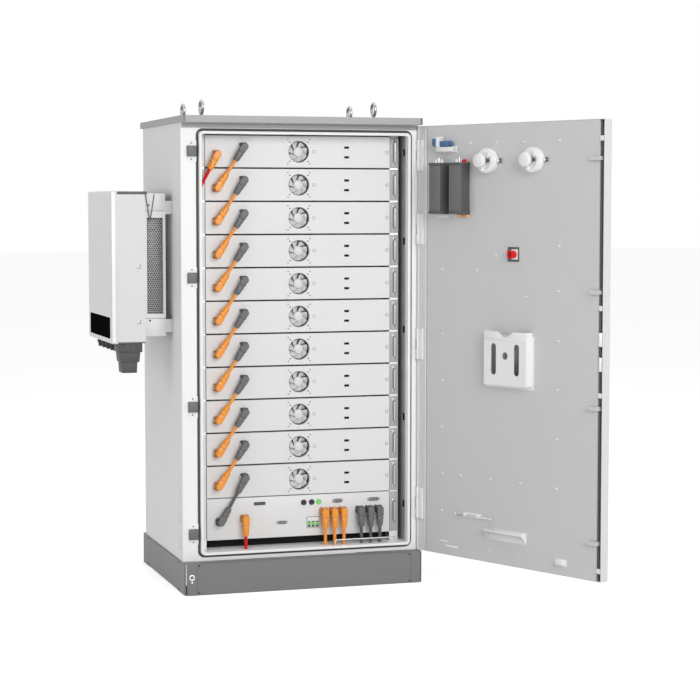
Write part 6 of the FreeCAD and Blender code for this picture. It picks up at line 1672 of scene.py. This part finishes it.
@dataclass
class DoorDevices:
    """The smoke detectors, the filter modules, the stop switch and the document holder.

    Attributes:
        detectors: places of the detectors, from the hinge pins and off the floor.
        detector_radius: a detector's radius.
        modules: the sides of the two modules.
        module_tall: their lower and upper ends.
        module_deep: how far they stand out.
        stop: the stop switch's place.
        contact_shift: its contact block to the right of the button.
        holder: the holder's sides, base and rim.
        holder_deep: how far it stands out.
        slots: middles of the slots in its front.
        slot_half: half width of a slot's frame.
        hole_z: height of the round hole.
    """

    detectors: tuple = ((420, 1813), (676, 1813))
    detector_radius: float = 52
    modules: tuple = ((118, 186), (240, 308))
    module_tall: Span = (1593, 1808)
    module_deep: float = 50
    stop: Span = (561, 1429)
    contact_shift: float = 9
    holder: tuple = (432, 668, 890, 1112)
    holder_deep: float = 38
    slots: Span = (486, 615)
    slot_half: float = 26.5
    hole_z: float = 1013

    def detector_set(self, shop: Workshop) -> None:
        """Builds the smoke detectors: base, louvred ring, dome with three arms and side connector.

        Args:
            shop: the workshop that takes the finished pieces.
        """
        shells, slots, plugs = Piece("detector_shells"), Piece("detector_slots"), Piece("detector_connectors")
        r = self.detector_radius
        for x, z in self.detectors:
            shells.lathe(Axis.Y, (x, z),
                         ((0, 26), (r * 0.55, 26), (r * 0.62, 28.5), (r * 0.74, 29), (r * 0.8, 26.5),
                          (r * 0.96, 25), (r, 21), (r, 8), (r * 0.96, 7), (r * 0.96, -SEAT),
                          (0, -SEAT)), 64)
            shells.lathe(Axis.Y, (x - 10, z),
                         ((0, 62), (20, 61.6), (26.5, 59.5), (29, 55), (29.4, 48), (24, 44), (20, 26),
                          (0, 26)), 48)
            for number, turn in enumerate((100, 215, 325)):
                place = Matrix.Translation((x - 4, 0, z)) @ Matrix.Rotation(math.radians(turn), 4, "Y")
                with shells.within(place):
                    shells.block((26, 43), (26, 38 - 2 * number), (-6, 6), 2)
            for turn in (45, -45, 180):
                with slots.within(Matrix.Translation((x + 18, 0, z)) @ Matrix.Rotation(math.radians(turn), 4,
                                                                                       "Y")):
                    slots.block((-22, -9), (25, 27), (-1.6, 1.6), 0.3)
            slots.block((x + 11, x + 24), (25, 33), (z - 7, z + 7), 1)
            shells.block((x + r - 4, x + r + 14), (2, 14), (z - 8, z + 8), 2)
            for dz in (-5.5, 5.5):
                plugs.block((x + r + 12, x + r + 22), (4, 12), (z + dz - 4, z + dz + 4), 1)
        shop.hang("door", {shells: Paint.WHITE, slots: Paint.DARK, plugs: Paint.DARK}, "smoke_detectors")

    def module_set(self, shop: Workshop) -> None:
        """Builds the dark modules with their ribs, terminals and tabs.

        Args:
            shop: the workshop that takes the finished pieces.
        """
        bodies, white, red = Piece("module_bodies"), Piece("module_terminals"), Piece("red_terminal")
        bright, copper, faces = Piece("module_tabs"), Piece("copper_tab"), Piece("module_faces")
        low, high = self.module_tall
        for number, (start, end) in enumerate(self.modules):
            bodies.block((start, end), (-SEAT, self.module_deep), (low + 8, high - 8), 1)
            for z in ((low, low + 12), (high - 12, high)):
                bodies.block((start - 3, end + 3), (-SEAT, self.module_deep + 3), z, 1.5)
            middle = (start + end) / 2
            for x in (middle - 20, middle + 14):
                white.lathe(Axis.Z, (x, 24),
                            ((0, high + 14), (5, high + 14), (6, high + 12), (6, high + 6), (8, high + 5),
                             (8, high - 1), (0, high - 1)), 6)
            bright.tube(((middle - 3, 24, high - 2), (middle - 3, 24, high + 20)), 2, 0, 10)
            (copper if number else white).block((start - 1, end + 3), (0, 3), (low - 15, low + 1), 1.0)
            for x in (start + 12, end - 9):
                screw(bright, Axis.Y, (x, low - 7), 3, 1, 4.4)
            faces.block((start + 1.5, end - 1.5), (self.module_deep, self.module_deep + 2.4),
                        (low + 12.5, high - 12.5), 0.6)
        red.block((self.modules[1][1] - 16, self.modules[1][1] - 2), (16, 32), (high - 1, high + 13), 2)
        shop.hang("door", {bodies: Paint.DARK, faces: Paint.MODULE, white: Paint.WHITE, red: Paint.RED,
                           bright: Paint.ZINC, copper: Paint.COPPER}, "filter_modules")

    def stop_set(self, shop: Workshop) -> None:
        """Builds the stop switch's body: dark frame, white panel, red contact block and outer collar.

        Args:
            shop: the workshop that takes the finished pieces.
        """
        frame, panel = Piece("stop_frame"), Piece("stop_panel")
        contact, collar = Piece("stop_contact"), Piece("stop_collar")
        x, z = self.stop
        frame.block((x - 31, x + 31), (-SEAT, 3), (z - 30, z + 30), 1.2)
        panel.block((x - 6, x + 26), (2.8, 7), (z - 21, z + 21), 1.2)
        right = x + self.contact_shift
        contact.lathe(Axis.Y, (right, z), ((0, 26), (13, 26), (15.5, 23.5), (15.5, 6), (0, 6)), 32)
        contact.block((right - 22, right + 2), (6, 26), (z - 15.5, z + 15.5), 1.5)
        for level in (10, 15, 20):
            contact.block((right - 23.2, right - 21), (level - 1.2, level + 1.2), (z - 11, z + 11), 0.6)
        collar.lathe(Axis.Y, (x, z), ((6, -46), (17, -46), (18.5, -44.5), (18.5, -43), (6, -43), (6, -46)),
                     40)
        collar.lathe(Axis.Y, (x, z), ((5.3, -43), (11, -43), (11, 3), (5.3, 3), (5.3, -43)), 32)
        shop.hang("door", {frame: Paint.DARK, panel: Paint.WHITE, contact: Paint.RED, collar: Paint.WHITE},
                  "stop_switch_body")

    def holder_set(self, shop: Workshop) -> None:
        """Builds the moulded document holder with its notch, slots, hole and a back plate painted as the
        shade inside it.

        Args:
            shop: the workshop that takes the finished pieces.
        """
        holder = Piece("document_holder_moulding")
        left, right, low, high = self.holder
        deep = self.holder_deep
        base, top = low + 31, high - 37
        face = (deep - 2.5, deep)
        holder.plate(Axis.Y, self.front_outline(left, right, top, high, (left + right) / 2 + 2), face, 0.6)
        holder.block((left, right), face, (low, base))
        half, level = self.slot_half, self.hole_z
        for x in self.slots:
            holder.border((x - half, x + half, base, top), 12, face, (0.2, 14))
        inner = (self.slots[0] + half, self.slots[1] - half)
        for span in ((left, self.slots[0] - half), (self.slots[1] + half, right)):
            holder.block(span, face, (base, top))
        holder.pierced((sum(inner) / 2, level), ((inner[1] - inner[0]) / 2, 40), 15.5, face)
        holder.block(inner, face, (base, level - 40))
        holder.block(inner, face, (level + 40, top))
        for side in (left, right - 2.5):
            holder.plate(Axis.X, ((0, low), (deep - 2.6, low), (deep - 2.6, high), (0, high)),
                         (side, side + 2.5), 0.6)
        holder.block((left, right), (0, deep - 2.6), (low, low + 2.5), 0.6)
        holder.block((left - 20, right + 11), (-0.1, 2), (low - 13, high - 16), 0.8)
        shop.hang("door", {holder: Paint.HOLDER}, "document_holder")
        # A grey plate painted as the shade inside the holder, seen through its slots and hole.
        shade = Piece("holder_painted_shade")
        shade.block((left + 4, right - 4), (2.1, 3), (low + 4, high - 40), 0.3)
        shop.hang("door", {shade: Paint.SHADE_GREY}, "document_holder")

    @staticmethod
    def front_outline(left: float, right: float, low: float, high: float, middle: float) -> list[Span]:
        """Gives the outline of the holder's upper front, with a curved notch at the rim.

        Args:
            left: the left side.
            right: the right side.
            low: the lower edge.
            high: the rim.
            middle: the notch's place.

        Returns:
            The outline's points.
        """
        notch = [(middle + 49 * part / 8,
                  high - 12 - 12 * math.cos(math.pi * part / 8)) for part in range(8, -9, -1)]
        return [(left, low), (right, low), (right, high), *notch, (left, high)]

    def build(self, shop: Workshop) -> None:
        """Builds the devices on the door.

        Args:
            shop: the workshop that takes the finished pieces.
        """
        shop.dress(stop_button=Paint.RED)
        self.detector_set(shop)
        self.module_set(shop)
        self.stop_set(shop)
        self.holder_set(shop)


@dataclass
class Inverter:
    """The inverter on the left wall.

    Attributes:
        guard_x: the cooling section between the wall bracket and the chassis.
        guard_z: its lower and upper edge.
        chassis_x: the chassis.
        cover_x: the front cover.
        near: the near side's Y.
        far: the far side's Y.
        tall: lower and upper edge.
        mesh_x: the perforated field's places along X.
        mesh_z: its lower and upper edge.
        pitch: one hole to the next.
        hole: the holes' radius.
        display: the window's places along Y and its lower and upper edge.
        clips: heights of the corner marks on its side.
        bail: the wire bail's legs along X and its foot and head along Z.
    """

    guard_x: Span = (-114, -24)
    guard_z: Span = (1076, 1680)
    chassis_x: Span = (-232, -114)
    cover_x: Span = (-258, -232)
    near: float = 220
    far: float = 760
    tall: Span = (1048, 1688)
    mesh_x: Span = (-104, -33)
    mesh_z: Span = (1171, 1582)
    pitch: float = 10.1
    hole: float = 5.2
    display: tuple = (256, 719, 1067, 1157)
    clips: Span = (1372, 1138)
    bail: tuple = (-110, -72, 1550, 1676)

    def guard(self, shop: Workshop) -> None:
        """Builds the perforated guard, its end pieces, and behind it the fins and a dark sheet painted as the
        shade inside the guard.

        Args:
            shop: the workshop that takes the finished pieces.
        """
        sheet, ends, fins_and_shade = Piece("perforated_guard"), Piece("guard_ends"), Piece("cooling_fins_and_shade")
        low, high = self.guard_z
        foot, head = self.mesh_z
        for y in (self.near + 8, self.far - 10):
            sheet.honeycomb(self.mesh_x, self.mesh_z, (y, y + 0.9), self.pitch, self.hole)
            for x, z in (((self.guard_x[0], self.mesh_x[0] + 0.6), (foot + 1.2, head - 5.2)),
                         ((self.mesh_x[1] - 3, self.guard_x[1]), (foot + 1.2, head - 5.2)),
                         (self.guard_x, (1153, foot + 1)), (self.guard_x, (head - 5, 1605))):
                sheet.block(x, (y, y + 2), z)
        for z in ((low, 1151.5), (1606.5, high)):
            ends.tray(self.guard_x, (self.near + 7, self.far - 7), z, (1, 0, 0), 2, 80, 1.2)
        sheet.block((self.guard_x[1] - 2, self.guard_x[1]), (self.near + 9, self.far - 9), (1153, 1605), 0.4)
        shop.hang("cabinet", {ends: Paint.INVERTER, sheet: Paint.INVERTER}, "inverter_guard")
        fin = (self.far - self.near) / 13
        # Each long dark sheet behind the mesh is painted shade; the short ribs are the fins.
        for y, ribs in ((self.near + fin - 3.2, (-8, 1)), (self.near + fin * 12 + 2.2, (0, 9))):
            fins_and_shade.block((-113.5, -27), (y, y + 1), (1156, 1602), 0.3)
            for z in range(1176, 1577, 50):
                fins_and_shade.block((-100, -52), (y + ribs[0], y + ribs[1]), (z, z + 5), 0.5)
        shop.hang("cabinet", {fins_and_shade: Paint.FIN_AND_SHADE})

    def trim(self, shop: Workshop) -> None:
        """Adds the top strip, display window, edge marks, screw holes and the wire bail.

        Args:
            shop: the workshop that takes the finished pieces.
        """
        strip, window, holes = Piece("inverter_top_strip"), Piece("inverter_display"), Piece("inverter_holes")
        bail, marks = Piece("inverter_bail"), Piece("inverter_marks")
        low, high = self.tall
        strip.block((self.chassis_x[0], self.chassis_x[1] + 10), (self.near - 0.4, self.far + 0.4),
                    (high - 13, high - 0.2), 1)
        start, end, base, top = self.display
        with window.within(Matrix.Rotation(-math.pi / 2, 4, "Z")):
            window.border((-end, -start, base, top), 44.6, (self.cover_x[0] - 0.3, self.cover_x[0] + 1),
                          (9, 1.5))
        window.block((self.cover_x[0] - 0.25, self.cover_x[0] + 1), (start + 30, end - 30),
                     (base + 30, top - 30))
        for spot in ((-96, 1630), (-93, 1143)):
            holes.drum(Axis.Y, 4.2, spot, (self.near + 6, self.near + 9), sides=20, edge=0.4)
        side = (self.near - 0.6, self.near + 1)
        for z in self.clips:
            marks.block((-150, -134), side, (z - 8, z - 6), 0.3)
            marks.block((-136, -134), side, (z - 8, z + 10), 0.3)
        for y in (self.near + 110, self.far - 110):
            for z in (high - 20, low + 14):
                screw(marks, Axis.X, (y, z), self.cover_x[0] + 1.3, -1, 3)
        left, right, foot, head = self.bail
        y = self.near + 3
        # The bail wire is painted dark to stand for its shaded outline.
        bail.tube(((left, y, head), (left, y, foot), (right, y, foot), (right, y, head)), 2.0, 18.5, 14)
        shop.hang("cabinet", {strip: Paint.DARK, window: Paint.DISPLAY, holes: Paint.BLACK,
                              bail: Paint.MODULE, marks: Paint.DARK})

    def side_trim(self, shop: Workshop) -> None:
        """Adds a strip painted as the highlight on the cover's side edge, its skirt, and a grey strip painted
        as the shade along the chassis' foot.

        Args:
            shop: the workshop that takes the finished pieces.
        """
        skirt, edge, foot = Piece("cover_side_skirt"), Piece("cover_side_highlight"), Piece("chassis_foot_shade")
        low, high = self.tall
        seam = self.cover_x[0] + 17
        # A bright strip painted as the highlight on the cover's side edge.
        edge.block((self.cover_x[0] + 1.5, seam), (self.near - 2.6, self.near - 1), (low + 4, high - 4), 1.2)
        skirt.block((seam + 0.4, self.cover_x[1] + 0.4), (self.near - 2.4, self.near + 1),
                    (low - 1, high + 1), 0.5)
        # A grey strip painted as the shade along the chassis' lower edge.
        foot.block(self.chassis_x, (self.near - 0.5, self.near + 1), (low + 0.2, low + 6), 0.4)
        shop.hang("cabinet", {skirt: Paint.INVERTER, edge: Paint.EDGE_HIGHLIGHT, foot: Paint.MODULE})

    def cable_box(self, shop: Workshop) -> None:
        """Builds the tiered cable box and the glands beside it.

        Args:
            shop: the workshop that takes the finished pieces.
        """
        box, glands = Piece("cable_box"), Piece("cable_glands")
        low = self.tall[0]
        box.block((-228, -126), (self.near + 8, self.near + 118), (low - 38, low - 0.5), 2)
        for left, right, top, drop, taper, front, back in ((-222, -134, 34, 80, 4, 12, 108),
                                                           (-214, -146, 76, 126, 3, 16, 98)):
            box.plate(Axis.Y, ((left, low - top), (right, low - top), (right - taper, low - drop),
                               (left + taper, low - drop)),
                      (self.near + front, self.near + back), 2)
        for x in (-205, -178, -151):
            screw(box, Axis.Y, (x, low - 12), self.near + 8, -1, 4)
        glands.block((-244, -124), (self.near + 24, self.far - 24), (low - 4, low), 0.8)
        for number in range(4):
            y = self.near + 160 + 93 * number
            glands.lathe(Axis.Z, (-224, y),
                         ((0, low - 38), (9, low - 38), (11, low - 34), (11, low - 22), (15, low - 21),
                          (15, low - 8), (12, low - 7), (12, low - 2),
                          (0, low - 2)), 16)
        shop.hang("cabinet", {box: Paint.BASE_DARK, glands: Paint.BLACK}, "inverter_cable_box")

    def build(self, shop: Workshop) -> None:
        """Builds the inverter's pieces and finishes its nodes.

        Args:
            shop: the workshop that takes the finished pieces.
        """
        shop.dress(inverter_bracket=Paint.INVERTER, inverter_chassis=Paint.INVERTER,
                   inverter_cover=Paint.COVER)
        self.guard(shop)
        self.trim(shop)
        self.side_trim(shop)
        self.cable_box(shop)


@dataclass
class Studio:
    """The plain floor, the lamps and the camera.

    Attributes:
        place: the camera's place, in metres.
        heading: degrees that it looks to the right of straight ahead.
        tilt: degrees that it looks down.
        focal_pixels: the focal length in pixels of the square picture.
        picture: the picture's width in pixels.
        sensor: the sensor's width in millimetres.
        soft: strength of the light all round.
        lift: white that the floor adds where it is seen.
        reach: half of the floor's width, in metres.
        far: how far the camera sees, in metres.
        lamps: name, place in metres and power in watts of each lamp.
        lamp_wide: a lamp's width, in metres.
        aim: what the lamps look at.
    """

    place: tuple[float, float, float] = (-2.3582, -8.4894, 1.6325)
    heading: float = 17.59
    tilt: float = 4.17
    focal_pixels: float = 1994.67
    picture: float = 700.0
    sensor: float = 36.0
    soft: float = 0.42
    lift: float = 0.62
    reach: float = 60
    far: float = 200
    lamps: tuple = (("key", (0.8, -8.2, 3.5), 335.0), ("side", (-7.0, -1.0, 3.0), 60.0),
                    ("top", (0.0, 0.5, 7.0), 80.0))
    lamp_wide: float = 4.0
    aim: tuple[float, float, float] = (0.2, -0.2, 1.0)

    def camera(self) -> None:
        """Sets the camera at the picture's angle."""
        lens = bpy.data.cameras.new("view")
        lens.sensor_width = self.sensor
        lens.lens = self.focal_pixels / self.picture * self.sensor
        lens.clip_end = self.far
        eye = bpy.data.objects.new("view", lens)
        bpy.context.scene.collection.objects.link(eye)
        eye.location = self.place
        eye.rotation_euler = (math.radians(90 - self.tilt), 0, math.radians(-self.heading))
        bpy.context.scene.camera = eye

    def backdrop_material(self) -> bpy.types.Material:
        """Makes the white of the floor, which still shows the unit's shadow.

        Returns:
            The material.
        """
        material = bpy.data.materials.new("studio_floor")
        material.use_nodes = True
        nodes = Nodes(material.node_tree)
        shader = material.node_tree.nodes["Principled BSDF"]
        shader.inputs["Base Color"].default_value = (0.8, 0.8, 0.8, 1)
        shader.inputs["Roughness"].default_value = 0.9
        shader.inputs["Specular IOR Level"].default_value = 0.0
        strength = nodes.math("MULTIPLY", self.seen(nodes), self.lift)
        lift = nodes.add("ShaderNodeEmission", {"Color": (1, 1, 1, 1), "Strength": strength})
        both = nodes.add("ShaderNodeAddShader", {0: shader.outputs[0], 1: lift.outputs[0]})
        output = next(node for node in material.node_tree.nodes if node.type == "OUTPUT_MATERIAL")
        nodes.tree.links.new(both.outputs[0], output.inputs["Surface"])
        return material

    @staticmethod
    def seen(nodes: Nodes) -> bpy.types.NodeSocket:
        """Gives 1 for rays from the camera, from gloss and through glass, and 0 for the rest.

        Args:
            nodes: the tree to add to.

        Returns:
            The socket that holds the result.
        """
        path = nodes.add("ShaderNodeLightPath")
        gloss = nodes.math("MAXIMUM", path.outputs["Is Glossy Ray"], path.outputs["Is Transmission Ray"])
        return nodes.math("MAXIMUM", path.outputs["Is Camera Ray"], gloss)

    def floor(self) -> None:
        """Lays the floor."""
        mesh = bmesh.new()
        bmesh.ops.create_grid(mesh, x_segments=1, y_segments=1, size=self.reach)
        data = bpy.data.meshes.new("studio_floor")
        mesh.to_mesh(data)
        mesh.free()
        data.materials.append(self.backdrop_material())
        plane = bpy.data.objects.new("studio_floor", data)
        bpy.context.scene.collection.objects.link(plane)

    def lamp(self, name: str, place: Point, power: float) -> None:
        """Hangs one soft lamp.

        Args:
            name: the lamp's name.
            place: where it hangs, in metres.
            power: its power in watts.
        """
        data = bpy.data.lights.new(name, "AREA")
        data.shape = "SQUARE"
        data.size = self.lamp_wide
        data.energy = power
        lamp = bpy.data.objects.new(name, data)
        bpy.context.scene.collection.objects.link(lamp)
        lamp.location = place
        lamp.rotation_euler = (Vector(self.aim) - Vector(place)).to_track_quat("-Z", "Y").to_euler()

    def world(self) -> None:
        """Sets the soft light all round and the white that the camera and reflections see."""
        world = bpy.data.worlds.new("studio")
        bpy.context.scene.world = world
        world.use_nodes = True
        nodes = Nodes(world.node_tree)
        back = world.node_tree.nodes["Background"]
        back.inputs["Color"].default_value = (1, 1, 1, 1)
        back.inputs["Strength"].default_value = self.soft
        white = nodes.add("ShaderNodeBackground", {"Color": (1, 1, 1, 1), "Strength": 1.0})
        mixed = nodes.add("ShaderNodeMixShader",
                          {0: self.seen(nodes), 1: back.outputs[0], 2: white.outputs[0]})
        output = next(node for node in world.node_tree.nodes if node.type == "OUTPUT_WORLD")
        nodes.tree.links.new(mixed.outputs[0], output.inputs["Surface"])

    def build(self) -> None:
        """Sets up the whole studio."""
        bpy.context.scene.view_settings.view_transform = "Standard"
        self.camera()
        self.floor()
        self.world()
        for name, place, power in self.lamps:
            self.lamp(name, place, power)


def main() -> None:
    """Builds the unit's pieces in order and the studio round them."""
    logging.basicConfig(level=logging.INFO, format="%(name)s %(message)s")
    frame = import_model()
    Studio().build()
    shop = Workshop(Drawing(), frame["nodes"])
    for assembly in (Cabinet(), PackFronts(), PowerLeads(), ControlPanel(), DoorLining(), DoorDevices(),
                     Inverter()):
        log.info("building %s", type(assembly).__name__)
        assembly.build(shop)


if __name__ == "__main__":
    main()
